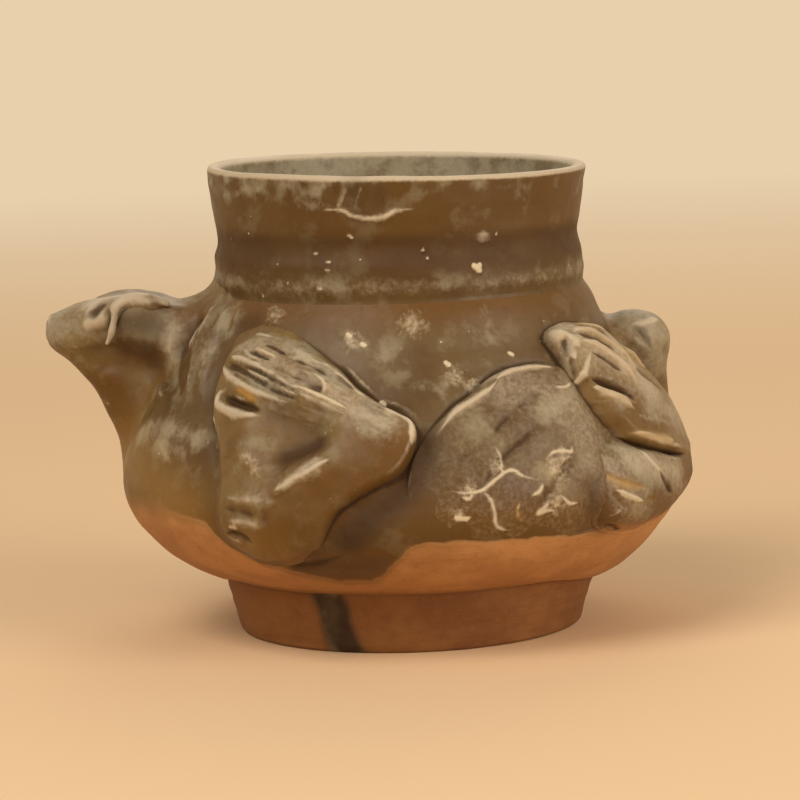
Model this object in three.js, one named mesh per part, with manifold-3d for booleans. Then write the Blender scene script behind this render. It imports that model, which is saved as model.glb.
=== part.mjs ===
// Brush pot in the form of a squatting animal: a wheel-thrown stoneware jar whose head, ears, legs,
// haunches and tail are modelled by hand and luted to the wall with slip. Millimetres, +Z up. The
// origin is the centre of the underside, the head looks along -X, and its left side faces -Y.

import * as THREE from 'three';
import { mergeVertices } from 'three/addons/utils/BufferGeometryUtils.js';
import Module from 'manifold-3d';

// Foot: a turned solid disc
const FOOT_RADIUS = 30.2;
const FOOT_TOP_RADIUS = 32.3;
const FOOT_HEIGHT = 9.5;
const FOOT_EDGE = 0.6;

// Belly: a thrown bowl, with its heights above the foot
const BELLY_SEAT_RADIUS = 33.2;
const BELLY_RADIUS = 47.3;
const BELLY_WIDEST = 15.5;
const BELLY_HEIGHT = 49.8;
const SHOULDER_RADIUS = 31.7;
const WALL = 3.2;
const FLOOR = 3.6;
const FLOOR_FILLET = 1.5;

// Neck: a thrown collar, with its heights above the belly
const NECK_HEIGHT = 20.4;
const NECK_RADIUS = 31;
const CORDON_HEIGHT = 5;
const CORDON_RELIEF = 0.5;
const LIP_RADIUS = 32.3;
const LIP_THICKNESS = 2.4;
const RIM_RISE = 0.75;

// Joints luted with slip
const SLIP = 0.3;
const JOINT_BEVEL = 0.6;
const JOINT_GROOVE = 0.4;

// Head: lengths run outwards from the wall behind the jaw, and depths down from the shoulder
const SNOUT_LENGTH = 24.1;
const SNOUT_DEPTH = 6.8;
const SNOUT_WIDTH = 5.5;
const SNOUT_TIP = 4.1;
const SKULL_LENGTH = 9.3;
const SKULL_WIDTH = 17.4;
const CROWN_DEPTH = 0.7;
const NAPE_RISE = 3.6;
const JAW_DEPTH = 11.4;
const THROAT_DEPTH = 29.8;
const THROAT_WIDTH = 13;
const CHEST_WIDTH = 22;
const CHEST_RELIEF = 2.2;

// Ears: cupped discs at the sides of the skull
const EAR_LENGTH = 10.6;
const EAR_HEIGHT = 8.6;
const EAR_THICKNESS = 4;
const EAR_RIM = 1.3;
const EAR_BEHIND = 1.9;
const EAR_DEPTH = 5.5;

// How far the limbs and the tail stand out from the wall
const FORELEG_RELIEF = 4;
const HAUNCH_RELIEF = 1.3;
const HIND_LEG_RELIEF = 3.1;
const PAW_RELIEF = 2.2;
const SHOULDER_RELIEF = 2;
const TAIL_RELIEF = 8.6;
const TAIL_WIDTH = 10.8;

// Facets
const AROUND_POT = 60;
const AROUND_LIMB = 16;
const AROUND_PAD = 36;
const ARC_STEPS = 7;
const LIMB_STEPS = 9;
const CAP_STEPS = 3;

const wasm = await Module();
wasm.setup();

const degrees = Math.PI / 180;
const point = (x, y, z) => new THREE.Vector3(x, y, z);
const plane = (radius, height) => new THREE.Vector2(radius, height);

// A closed mesh as a solid that can be joined and cut

function toSolid(geometry) {
  const bare = geometry.clone();
  bare.deleteAttribute('normal');
  bare.deleteAttribute('uv');
  const merged = mergeVertices(bare, 1e-4);
  const places = merged.attributes.position.array;
  const corners = merged.index.array;
  const kept = [];
  for (let i = 0; i < corners.length; i += 3) {
    const [a, b, c] = [corners[i], corners[i + 1], corners[i + 2]];
    if (a !== b && b !== c && c !== a) kept.push(a, b, c);
  }
  if (signedVolume(places, kept) < 0) kept.reverse();
  return new wasm.Manifold(new wasm.Mesh({
    numProp: 3,
    vertProperties: new Float32Array(places),
    triVerts: new Uint32Array(kept),
  }));
}

function signedVolume(places, corners) {
  const at = (n) => new THREE.Vector3().fromArray(places, 3 * n);
  let sum = 0;
  for (let i = 0; i < corners.length; i += 3) {
    sum += at(corners[i]).dot(at(corners[i + 1]).cross(at(corners[i + 2])));
  }
  return sum / 6;
}

function toGeometry(solid) {
  const mesh = solid.getMesh();
  const geometry = new THREE.BufferGeometry();
  geometry.setAttribute('position', new THREE.BufferAttribute(mesh.vertProperties, 3));
  geometry.setIndex(new THREE.BufferAttribute(mesh.triVerts, 1));
  return geometry;
}

// The pot's profile, as points of radius and height

const bellyBottom = FOOT_HEIGHT + SLIP;
const widest = FOOT_HEIGHT + BELLY_WIDEST;
const jointHeight = FOOT_HEIGHT + BELLY_HEIGHT;
const rimHeight = jointHeight + NECK_HEIGHT;
const floorTop = bellyBottom + FLOOR;

function bellyArcs() {
  const swell = BELLY_RADIUS - BELLY_SEAT_RADIUS;
  const drop = widest - bellyBottom;
  const climb = jointHeight - widest;
  const lower = new THREE.CubicBezierCurve(
    plane(BELLY_SEAT_RADIUS, bellyBottom),
    plane(BELLY_SEAT_RADIUS + 0.32 * swell, bellyBottom + 0.1 * drop),
    plane(BELLY_RADIUS, widest - 0.46 * drop),
    plane(BELLY_RADIUS, widest),
  );
  const upper = new THREE.CubicBezierCurve(
    plane(BELLY_RADIUS, widest),
    plane(BELLY_RADIUS, widest + 0.28 * climb),
    plane(SHOULDER_RADIUS + 0.19 * (BELLY_RADIUS - SHOULDER_RADIUS), jointHeight - 0.29 * climb),
    plane(SHOULDER_RADIUS, jointHeight),
  );
  return [...lower.getPoints(ARC_STEPS), ...upper.getPoints(ARC_STEPS + 3).slice(1)];
}

// The points of a line moved sideways, inwards where the distance is below zero
function offset(line, distance) {
  return line.map((here, i) => {
    const before = line[Math.max(i - 1, 0)];
    const after = line[Math.min(i + 1, line.length - 1)];
    const along = after.clone().sub(before).normalize();
    return plane(here.x + along.y * distance, here.y - along.x * distance);
  });
}

const bellyOutside = bellyArcs();

const neckOutside = new THREE.SplineCurve([
  plane(SHOULDER_RADIUS, jointHeight),
  plane(NECK_RADIUS + CORDON_RELIEF, jointHeight + 0.8 * CORDON_HEIGHT),
  plane(NECK_RADIUS, jointHeight + 1.4 * CORDON_HEIGHT),
  plane(NECK_RADIUS + 0.2, jointHeight + 0.5 * NECK_HEIGHT),
  plane(LIP_RADIUS - 0.4, jointHeight + 0.78 * NECK_HEIGHT),
  plane(LIP_RADIUS, rimHeight - 0.5 * LIP_THICKNESS),
]).getPoints(ARC_STEPS);

const potOutside = [
  plane(FOOT_RADIUS, 0),
  plane(FOOT_TOP_RADIUS, FOOT_HEIGHT),
  ...bellyOutside,
  ...neckOutside.slice(1),
];

function wallRadius(height) {
  const last = potOutside.length - 1;
  let i = 1;
  while (i < last && potOutside[i].y < height) i += 1;
  const low = potOutside[i - 1];
  const high = potOutside[i];
  const share = (height - low.y) / (high.y - low.y);
  return THREE.MathUtils.lerp(low.x, high.x, THREE.MathUtils.clamp(share, 0, 1));
}

// Thrown and turned pieces

function turned(profile) {
  const geometry = new THREE.LatheGeometry(profile, AROUND_POT);
  geometry.rotateX(Math.PI / 2);
  return toSolid(geometry);
}

function foot() {
  return turned([
    plane(0, 0),
    plane(FOOT_RADIUS - FOOT_EDGE, 0),
    plane(FOOT_RADIUS, FOOT_EDGE),
    plane(FOOT_TOP_RADIUS, FOOT_HEIGHT - FOOT_EDGE),
    plane(FOOT_TOP_RADIUS - FOOT_EDGE, FOOT_HEIGHT),
    plane(0, FOOT_HEIGHT),
  ]);
}

function belly() {
  const inside = offset(bellyOutside, -WALL).filter((p) => p.y > floorTop + 0.7 * FLOOR_FILLET).reverse();
  const corner = inside.at(-1);
  const edge = SHOULDER_RADIUS - WALL;
  return turned([
    plane(0, bellyBottom),
    ...bellyOutside.slice(0, -1),
    plane(SHOULDER_RADIUS - JOINT_GROOVE, jointHeight - JOINT_BEVEL),
    plane(edge, jointHeight + JOINT_BEVEL),
    ...inside.slice(1),
    plane(corner.x - FLOOR_FILLET, floorTop),
    plane(0, floorTop),
  ]);
}

function neck() {
  const inside = offset(neckOutside, -WALL).slice(1, -2).reverse();
  const lipCentre = plane(LIP_RADIUS - 0.5 * LIP_THICKNESS, rimHeight - 0.5 * LIP_THICKNESS);
  const lip = new THREE.EllipseCurve(
    lipCentre.x, lipCentre.y, 0.5 * LIP_THICKNESS, 0.5 * LIP_THICKNESS, 0, Math.PI,
  );
  const profile = [
    plane(SHOULDER_RADIUS - JOINT_GROOVE, jointHeight - JOINT_BEVEL + SLIP),
    ...neckOutside.slice(1, -1),
    ...lip.getPoints(8),
    ...inside,
    plane(SHOULDER_RADIUS - WALL, jointHeight + JOINT_BEVEL + SLIP),
  ];
  const geometry = new THREE.LatheGeometry([...profile, profile[0]], AROUND_POT);
  geometry.rotateX(Math.PI / 2);
  tiltRim(geometry);
  return toSolid(geometry);
}

// The rim stands a little higher over the head than over the tail
function tiltRim(geometry) {
  const places = geometry.attributes.position;
  for (let i = 0; i < places.count; i += 1) {
    const share = Math.max(0, (places.getZ(i) - jointHeight - CORDON_HEIGHT) / NECK_HEIGHT);
    places.setZ(i, places.getZ(i) - share * RIM_RISE * places.getX(i) / LIP_RADIUS);
  }
}

// The pot's outside as a full solid, grown by the slip, which everything on the wall is cut by
function potBody() {
  return turned([
    plane(0, 0),
    ...offset(potOutside, SLIP),
    plane(0, rimHeight),
  ]);
}

// Places on the wall. An angle of 0 faces -Y and 90 faces +X, and a height is a percentage of the
// belly's. A side of 1 is the animal's left, and -1 its right.

function onWall(angle, height, out, side) {
  const z = FOOT_HEIGHT + (height / 100) * BELLY_HEIGHT;
  const radius = wallRadius(z) + out;
  const turn = angle * degrees;
  return point(radius * Math.sin(turn), -side * radius * Math.cos(turn), z);
}

function wallNormal(angle, height, side) {
  const upwards = onWall(angle, height + 2, 0, side).sub(onWall(angle, height - 2, 0, side));
  const turn = angle * degrees;
  const sideways = point(Math.cos(turn), side * Math.sin(turn), 0);
  return sideways.cross(upwards).multiplyScalar(side).normalize();
}

// A skin over rings of equally many points, closed at both ends
function skin(rings) {
  const count = rings[0].length;
  const middle = (ring) => ring.reduce((sum, p) => sum.add(p), point(0, 0, 0)).divideScalar(count);
  const all = [...rings.flat(), middle(rings[0]), middle(rings.at(-1))];
  const start = all.length - 2;
  const lastRing = (rings.length - 1) * count;
  const corners = [];
  for (let k = 0; k < count; k += 1) {
    const next = (k + 1) % count;
    for (let row = 0; row < lastRing; row += count) {
      corners.push(row + k, row + next, row + count + next);
      corners.push(row + k, row + count + next, row + count + k);
    }
    corners.push(start, next, k);
    corners.push(start + 1, lastRing + k, lastRing + next);
  }
  const geometry = new THREE.BufferGeometry().setFromPoints(all);
  geometry.setIndex(corners);
  return toSolid(geometry);
}

function oval(centre, across, out, wide, tall) {
  return Array.from({ length: AROUND_LIMB }, (_, k) => {
    const turn = (k / AROUND_LIMB) * 2 * Math.PI;
    return centre.clone()
      .addScaledVector(across, wide * Math.cos(turn))
      .addScaledVector(out, tall * Math.sin(turn));
  });
}

// A roll of clay pressed along the wall. Each station is an angle, a height, the roll's half width
// and how far it stands out. Its ends are rounded over the blunt length, and it grows on all sides.
function roll(stations, blunt, side, grow = 0) {
  const path = new THREE.CatmullRomCurve3(stations.map(([angle, height]) => point(angle, height, 0)));
  const girth = new THREE.CatmullRomCurve3(stations.map(([, , wide, out]) => point(wide, out, 0)));
  const ringAt = (share, past) => {
    const here = path.getPoint(share);
    const size = girth.getPoint(share);
    const ahead = path.getPoint(Math.min(share + 0.02, 1));
    const behind = path.getPoint(Math.max(share - 0.02, 0));
    const along = onWall(ahead.x, ahead.y, 0, side).sub(onWall(behind.x, behind.y, 0, side)).normalize();
    const out = wallNormal(here.x, here.y, side);
    const across = along.clone().cross(out).normalize();
    const centre = onWall(here.x, here.y, 0, side).addScaledVector(along, past * (blunt + grow));
    const shrink = Math.sqrt(1 - past * past);
    return oval(centre, across, out, (size.x + grow) * shrink, (size.y + grow) * shrink);
  };
  const capped = (step) => Math.sin((step / (CAP_STEPS + 0.3)) * 90 * degrees);
  const rings = [];
  for (let step = CAP_STEPS; step > 0; step -= 1) rings.push(ringAt(0, -capped(step)));
  for (let step = 0; step <= LIMB_STEPS; step += 1) rings.push(ringAt(step / LIMB_STEPS, 0));
  for (let step = 1; step <= CAP_STEPS; step += 1) rings.push(ringAt(1, capped(step)));
  return skin(rings);
}

// A pad of clay pressed on the wall inside an outline of angles and heights, with a rounded edge and
// a gently domed middle
function pad(outline, middle, relief, side, grow = 0) {
  const edge = new THREE.CatmullRomCurve3(outline.map(([angle, height]) => point(angle, height, 0)), true);
  const loop = edge.getPoints(AROUND_PAD).slice(0, -1);
  const centre = point(...middle, 0);
  const reach = onWall(...middle, 0, side).distanceTo(onWall(...outline[0], 0, side));
  const ringAt = (share, out) => loop.map((p) => {
    const here = centre.clone().lerp(p, share * (1 + grow / reach));
    return onWall(here.x, here.y, out, side);
  });
  const under = -0.5 * WALL;
  return skin([
    ringAt(0.4, under),
    ringAt(1, under),
    ringAt(1, 0.35 * relief + grow),
    ringAt(0.96, 0.75 * relief + grow),
    ringAt(0.86, 0.95 * relief + grow),
    ringAt(0.55, 1.05 * relief + grow),
    ringAt(0.2, 1.08 * relief + grow),
  ]);
}

// Limbs

function foreleg(side, grow = 0) {
  const shape = pad([
    [-52, 85],
    [-38, 87.5],
    [-22, 81.5],
    [-10, 70.5],
    [0.6, 57.5],
    [0.2, 51],
    [-13, 33],
    [-22.5, 20],
    [-33, 17],
    [-38.6, 26],
    [-41.5, 44],
    [-46, 58],
    [-53.5, 73],
  ], [-29, 54], 0.6 * FORELEG_RELIEF, side, grow);
  const upperArm = roll([
    [-46, 77, 5.2, 0.85 * FORELEG_RELIEF],
    [-36, 75.5, 6.4, FORELEG_RELIEF],
    [-24, 70.5, 6, 1.05 * FORELEG_RELIEF],
    [-11, 62, 4.8, 1.1 * FORELEG_RELIEF],
    [-3.6, 55.5, 4, FORELEG_RELIEF],
  ], 3.4, side, grow);
  const forearm = roll([
    [-4, 53, 4, FORELEG_RELIEF],
    [-13, 44, 4.4, 0.95 * FORELEG_RELIEF],
    [-22, 35, 4.8, 0.9 * FORELEG_RELIEF],
    [-31, 28, 5.2, 0.85 * FORELEG_RELIEF],
  ], 3.6, side, grow);
  return shape.add(upperArm).add(forearm);
}

function haunch(side) {
  return pad([
    [4.6, 55],
    [9.5, 65],
    [18.5, 73.5],
    [29, 77],
    [41, 76.5],
    [46, 60],
    [44, 40],
    [38.6, 23],
    [22, 24.5],
    [8, 27.5],
    [4.2, 40],
  ], [24, 48], HAUNCH_RELIEF, side);
}

function hindLeg(side, grow = 0) {
  const shank = pad([
    [43.6, 82],
    [51, 84.5],
    [57, 81.5],
    [63, 73.5],
    [69, 63.5],
    [75.5, 53.5],
    [82, 42],
    [82, 34],
    [75, 33],
    [66, 41.5],
    [54.5, 47],
    [46, 56],
    [43.4, 68],
  ], [61, 57.5], HIND_LEG_RELIEF, side, grow);
  const paw = pad([
    [42.6, 39],
    [40.6, 29],
    [43.6, 20],
    [55, 17],
    [66, 21],
    [76, 28],
    [82.5, 36],
    [76, 44],
    [58, 42],
  ], [60, 31], PAW_RELIEF, side, grow);
  return shank.add(paw);
}

// Tail: level ovals from its foot up to its crown, each given by its height and by its width and
// relief as shares of the tail's own
function tail() {
  const stations = [
    [53.5, 0.56, 0.06],
    [62, 0.8, 0.34],
    [69.5, 0.95, 0.7],
    [76.5, 1, 0.96],
    [82.5, 0.92, 1],
    [86.5, 0.66, 0.76],
    [88, 0.34, 0.48],
  ];
  return skin(stations.map(([height, wide, out]) => oval(
    onWall(90, height, 0, 1),
    point(0, 1, 0),
    point(1, 0, 0),
    0.5 * wide * TAIL_WIDTH,
    out * TAIL_RELIEF,
  )));
}

// Head. Its landmarks, as distances from the axis and heights above the table:
const crown = jointHeight - CROWN_DEPTH;
const jaw = jointHeight - JAW_DEPTH;
const snout = jointHeight - SNOUT_DEPTH;
const earHeight = jointHeight - EAR_DEPTH;
const throatEnd = jointHeight - THROAT_DEPTH;
const headWall = wallRadius(jaw);
const skullReach = headWall + SKULL_LENGTH;
const snoutReach = headWall + SNOUT_LENGTH;
const rootReach = SHOULDER_RADIUS - WALL;

// Upright ovals, each narrower below than above, given by its reach towards -X, its top, its bottom
// and its width
function prow(stations, grow) {
  const count = 1.5 * AROUND_LIMB;
  return skin(stations.map(([reach, top, bottom, width]) => {
    const middle = 0.5 * (top + bottom);
    const half = 0.5 * (top - bottom) + grow;
    return Array.from({ length: count }, (_, k) => {
      const turn = (k / count) * 2 * Math.PI;
      const narrow = 1 - 0.25 * Math.max(0, -Math.sin(turn));
      const wide = (0.5 * width + grow) * narrow * Math.cos(turn);
      return point(-reach - grow, wide, middle + half * Math.sin(turn));
    });
  }));
}

function head(grow = 0) {
  const muzzle = snoutReach - skullReach;
  const behind = skullReach - SHOULDER_RADIUS;
  const cheek = crown - jaw;
  const skull = prow([
    [rootReach, crown + NAPE_RISE, jaw - 0.56 * cheek, SKULL_WIDTH],
    [SHOULDER_RADIUS + 0.08 * behind, crown, jaw - 0.46 * cheek, SKULL_WIDTH],
    [SHOULDER_RADIUS + 0.34 * behind, crown - 0.11 * cheek, jaw - 0.37 * cheek, SKULL_WIDTH],
    [SHOULDER_RADIUS + 0.66 * behind, crown - 0.08 * cheek, jaw - 0.28 * cheek, SKULL_WIDTH],
    [skullReach, crown, jaw - 0.1 * cheek, SKULL_WIDTH],
    [skullReach + 0.25 * muzzle, crown - 0.02 * cheek, jaw, 0.86 * SKULL_WIDTH],
    [skullReach + 0.52 * muzzle, crown - 0.13 * cheek, jaw + 0.08 * cheek, 0.66 * SKULL_WIDTH],
    [skullReach + 0.8 * muzzle, snout + 0.78 * SNOUT_TIP, snout - 0.83 * SNOUT_TIP, 1.55 * SNOUT_WIDTH],
    [skullReach + 0.95 * muzzle, snout + 0.46 * SNOUT_TIP, snout - 0.54 * SNOUT_TIP, SNOUT_WIDTH],
    [snoutReach, snout + 0.25 * SNOUT_TIP, snout - 0.25 * SNOUT_TIP, 0.5 * SNOUT_WIDTH],
  ], grow);
  const drop = jaw - throatEnd;
  const throat = prow([
    [rootReach, crown - 0.5 * cheek, throatEnd - 0.2 * drop, THROAT_WIDTH],
    [skullReach, crown - 0.5 * cheek, throatEnd, THROAT_WIDTH],
    [skullReach + 0.25 * muzzle, crown - 0.6 * cheek, throatEnd + 0.34 * drop, 0.8 * THROAT_WIDTH],
    [skullReach + 0.5 * muzzle, crown - 0.7 * cheek, throatEnd + 0.69 * drop, 0.6 * THROAT_WIDTH],
    [skullReach + 0.75 * muzzle, crown - 0.74 * cheek, jaw - 0.05 * drop, 0.5 * THROAT_WIDTH],
    [skullReach + 0.92 * muzzle, crown - 0.66 * cheek, jaw + 0.11 * drop, 0.3 * THROAT_WIDTH],
  ], grow);
  return skull.add(throat);
}

// The chest swells out of the wall under the throat
function chest() {
  return roll([
    [-90, 50, 0.4 * CHEST_WIDTH, CHEST_RELIEF],
    [-90, 36, 0.5 * CHEST_WIDTH, CHEST_RELIEF],
    [-90, 22, 0.45 * CHEST_WIDTH, 0.25 * CHEST_RELIEF],
  ], 2, 1);
}

// A fold of the animal's shoulder, from the nape down beside the head
function shoulderFold(side) {
  return roll([
    [-82, 93, 3, 0.8 * SHOULDER_RELIEF],
    [-71, 89.5, 3, SHOULDER_RELIEF],
    [-65, 74.5, 3.2, 1.1 * SHOULDER_RELIEF],
    [-61.5, 58, 3, 0.7 * SHOULDER_RELIEF],
  ], 3, side);
}

function ear(side) {
  const disc = (length, thickness, height, outwards) => {
    const lens = new THREE.SphereGeometry(1, AROUND_LIMB + 4, 12);
    lens.scale(0.5 * length, 0.5 * thickness, 0.5 * height);
    lens.translate(EAR_BEHIND - skullReach, -side * (0.5 * SKULL_WIDTH + outwards), earHeight);
    return toSolid(lens);
  };
  const lobe = disc(EAR_LENGTH, EAR_THICKNESS, EAR_HEIGHT, 0);
  const cup = disc(EAR_LENGTH - 2 * EAR_RIM, EAR_THICKNESS, EAR_HEIGHT - 2 * EAR_RIM, 0.75 * EAR_THICKNESS);
  return lobe.subtract(cup);
}

// Clay and glaze colours
const glaze = new THREE.MeshStandardMaterial({ color: '#7d6a4a', roughness: 0.35, metalness: 0 });
const neckGlaze = new THREE.MeshStandardMaterial({ color: '#75603a', roughness: 0.32, metalness: 0 });
const limbGlaze = new THREE.MeshStandardMaterial({ color: '#8a7758', roughness: 0.38, metalness: 0 });
const bareClay = new THREE.MeshStandardMaterial({ color: '#96663f', roughness: 0.75, metalness: 0 });

const group = new THREE.Group();

function addPiece(name, solid, material) {
  const mesh = new THREE.Mesh(toGeometry(solid), material);
  mesh.name = name;
  group.add(mesh);
}

const pot = potBody();
const sides = [['left', 1], ['right', -1]];

addPiece('foot', foot(), bareClay);
addPiece('belly', belly(), glaze);
addPiece('neck', neck(), neckGlaze);

let headClay = head().add(chest()).add(shoulderFold(1)).add(shoulderFold(-1)).subtract(pot);
let tailClay = tail().subtract(pot);
for (const [, side] of sides) {
  headClay = headClay.subtract(foreleg(side, SLIP));
  tailClay = tailClay.subtract(hindLeg(side, SLIP));
}
addPiece('head', headClay, limbGlaze);
addPiece('tail', tailClay, limbGlaze);

for (const [word, side] of sides) {
  const hind = hindLeg(side).subtract(pot);
  const thigh = haunch(side).subtract(pot).subtract(hindLeg(side, SLIP)).subtract(foreleg(side, SLIP));
  addPiece(`ear_${word}`, ear(side).subtract(head(SLIP)).subtract(pot), limbGlaze);
  addPiece(`foreleg_${word}`, foreleg(side).subtract(pot), limbGlaze);
  addPiece(`haunch_${word}`, thigh, glaze);
  addPiece(`hind_leg_${word}`, hind, limbGlaze);
}

export default group;
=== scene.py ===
# Brush pot in the form of a crouching animal: a thrown stoneware jar with its head, ears, legs,
# haunches and tail modelled by hand, luted to the wall and scored with a tool, under a thin olive
# ash glaze that stops short of the bare foot. Shapes are worked out in millimetres, +Z up, with the
# head along -X and the animal's left side towards -Y, and are written to meshes in metres.

import math

import bpy
import numpy as np
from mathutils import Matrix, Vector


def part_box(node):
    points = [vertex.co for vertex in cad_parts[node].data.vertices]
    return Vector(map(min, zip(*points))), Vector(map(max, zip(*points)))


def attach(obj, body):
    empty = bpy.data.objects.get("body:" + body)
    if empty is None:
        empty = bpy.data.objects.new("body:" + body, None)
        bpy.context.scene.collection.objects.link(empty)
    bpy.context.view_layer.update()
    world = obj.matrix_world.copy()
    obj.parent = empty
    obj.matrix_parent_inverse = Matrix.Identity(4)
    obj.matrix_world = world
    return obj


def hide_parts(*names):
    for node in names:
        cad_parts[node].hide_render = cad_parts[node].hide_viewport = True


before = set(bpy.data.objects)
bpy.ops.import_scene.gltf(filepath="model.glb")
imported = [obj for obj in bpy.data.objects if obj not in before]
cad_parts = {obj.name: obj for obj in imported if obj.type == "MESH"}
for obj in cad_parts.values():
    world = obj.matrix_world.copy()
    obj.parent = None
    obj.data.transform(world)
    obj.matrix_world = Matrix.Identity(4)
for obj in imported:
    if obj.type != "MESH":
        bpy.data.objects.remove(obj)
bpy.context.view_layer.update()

import openvdb
from mathutils import Matrix, Vector

MM = 0.001

# Sizes that the frame doesn't give, in mm: wall, floor and lip, how much the rim rises towards the
# head, how deep pads are luted, and how narrow a pad's edge is where it is crisp
WALL = 3.2
FLOOR = 3.6
LIP = 2.4
RIM_RISE = 0.75
LUTE_DEPTH = 1.2
CRISP = 1.7
# Points round the belly and the neck
ROUND = 900
NO_TRIANGLES = np.empty((0, 3), int)

# Noise and curves

lattice = np.random.default_rng(11).uniform(-1, 1, (32, 32, 32))


def noise(points, size, shift=0.0):
    """Smooth lumps from -1 to 1 at each point, of the given size in mm."""
    place = points / size + shift
    cell = np.floor(place).astype(int)
    part = place - cell
    part = part * part * (3 - 2 * part)
    total = np.zeros(len(points))
    for corner in np.ndindex(2, 2, 2):
        weight = np.prod(np.where(corner, part, 1 - part), axis=1)
        total += weight * lattice[tuple(((cell + corner) % 32).T)]
    return total


def curve(stops, steps=8, closed=False):
    """A smooth line through the stops, with so many steps between each two."""
    stops = np.array(stops, float)
    if len(stops) == 1:
        return stops
    if closed:
        ends = np.vstack([stops[-1:], stops, stops[:2]])
    else:
        ends = np.vstack([2 * stops[:1] - stops[1:2], stops, 2 * stops[-1:] - stops[-2:-1]])
    t = np.linspace(0, 1, steps, endpoint=False)[:, None]
    line = []
    for a, b, c, d in zip(ends[:-3], ends[1:-2], ends[2:-1], ends[3:]):
        line.append(b + 0.5 * t * (c - a + t * (2 * a - 5 * b + 4 * c - d + t * (3 * (b - c) + d - a))))
    return np.vstack(line + [ends[-2:-1]])


def listed(text):
    """The rows of numbers written in a text, with commas between the rows."""
    return [[float(number) for number in row.split()] for row in text.split(",")]


def ease(x):
    x = np.clip(x, 0, 1)
    return x * x * (3 - 2 * x)


# The wall that everything is luted to, read off the rings of the turned CAD pieces


def outer_rings(node):
    """Heights and radii of a turned node's outer rings, in mm."""
    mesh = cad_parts[node].data
    found = {}
    for face in mesh.polygons:
        centre = face.center
        # Only faces that look outwards, and only their corners on the -Y side
        if face.normal.x * centre.x + face.normal.y * centre.y <= 0.05 * math.hypot(centre.x, centre.y):
            continue
        for corner in face.vertices:
            x, y, z = mesh.vertices[corner].co / MM
            if abs(x) < 0.5 and y < 0:
                found[round(z, 1)] = max(-y, found.get(round(z, 1), 0))
    # Rings well inside the widest one aren't part of the wall
    widest = max(found.values())
    return np.array(sorted((z, r) for z, r in found.items() if r > 0.65 * widest))


foot_rings = outer_rings("foot")
belly_rings = outer_rings("belly")
neck_rings = outer_rings("neck")
foot_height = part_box("foot")[1].z / MM
belly_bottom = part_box("belly")[0].z / MM
joint_height = 0.5 * (belly_rings[-1, 0] + neck_rings[0, 0])
rim_height = neck_rings[-1, 0] - 0.3
belly_line = curve(belly_rings, 12)
wall_line = np.vstack([belly_line, curve(neck_rings, 12)])


def wall_radius(height):
    return np.interp(height, wall_line[:, 0], wall_line[:, 1])


def level(height):
    """The height above the table of a place given in percent of the belly's height."""
    return foot_height + np.asarray(height, float) / 100 * (joint_height - foot_height)


def percent(z):
    return 100 * (z - foot_height) / (joint_height - foot_height)


def round_axis(turn, radius, z):
    """Places round the pot's axis, turned by so many radians from -Y towards +X."""
    return np.stack([radius * np.sin(turn), -radius * np.cos(turn), z + 0 * turn], -1)


def on_wall(angle, height):
    """Places on the wall. Angle 0 faces -Y and 90 faces +X; height is in percent of the belly's."""
    return round_axis(np.radians(angle), wall_radius(level(height)), level(height))


def wall_normal(angle, height):
    up = on_wall(angle, np.asarray(height) + 1.5) - on_wall(angle, np.asarray(height) - 1.5)
    turn = np.radians(angle)
    across = np.stack([np.cos(turn), np.sin(turn), 0 * turn], -1)
    normal = np.cross(across, up)
    return normal / np.linalg.norm(normal, axis=-1, keepdims=True)


def path(*stops):
    """A smooth path along the wall through places of angle and height."""
    line = curve(stops, 6)
    return on_wall(line[:, 0], line[:, 1])


# Working the clay. A mark follows a path and moves the surface along its normals. It also leaves
# tints, which the glaze reads: worn, where it is rubbed pale, and in a few places a painted highlight;
# pooled, where it gathers dark, and in places painted shade and shadow; rust, where iron shows orange;
# lime, where a white deposit sits; ash, where it is grey-green, and inside the mouth a painted
# reflection; lean, where it is thin and brown, and in places painted shade.

TINTS = ("worn", "pooled", "rust", "lime", "ash", "lean")


def distance(points, line):
    """How far each point is from the line, in mm, and how far along it the nearest place is."""
    best = np.full(len(points), np.inf)
    share = np.zeros(len(points))
    for i, (a, b) in enumerate(zip(line[:-1], line[1:])):
        step = b - a
        t = np.clip((points - a) @ step / max(step @ step, 1e-9), 0, 1)
        gap = np.linalg.norm(points - a - t[:, None] * step, axis=1)
        closer = gap < best
        best[closer] = gap[closer]
        share[closer] = (i + t[closer]) / (len(line) - 1)
    return best, share


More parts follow.
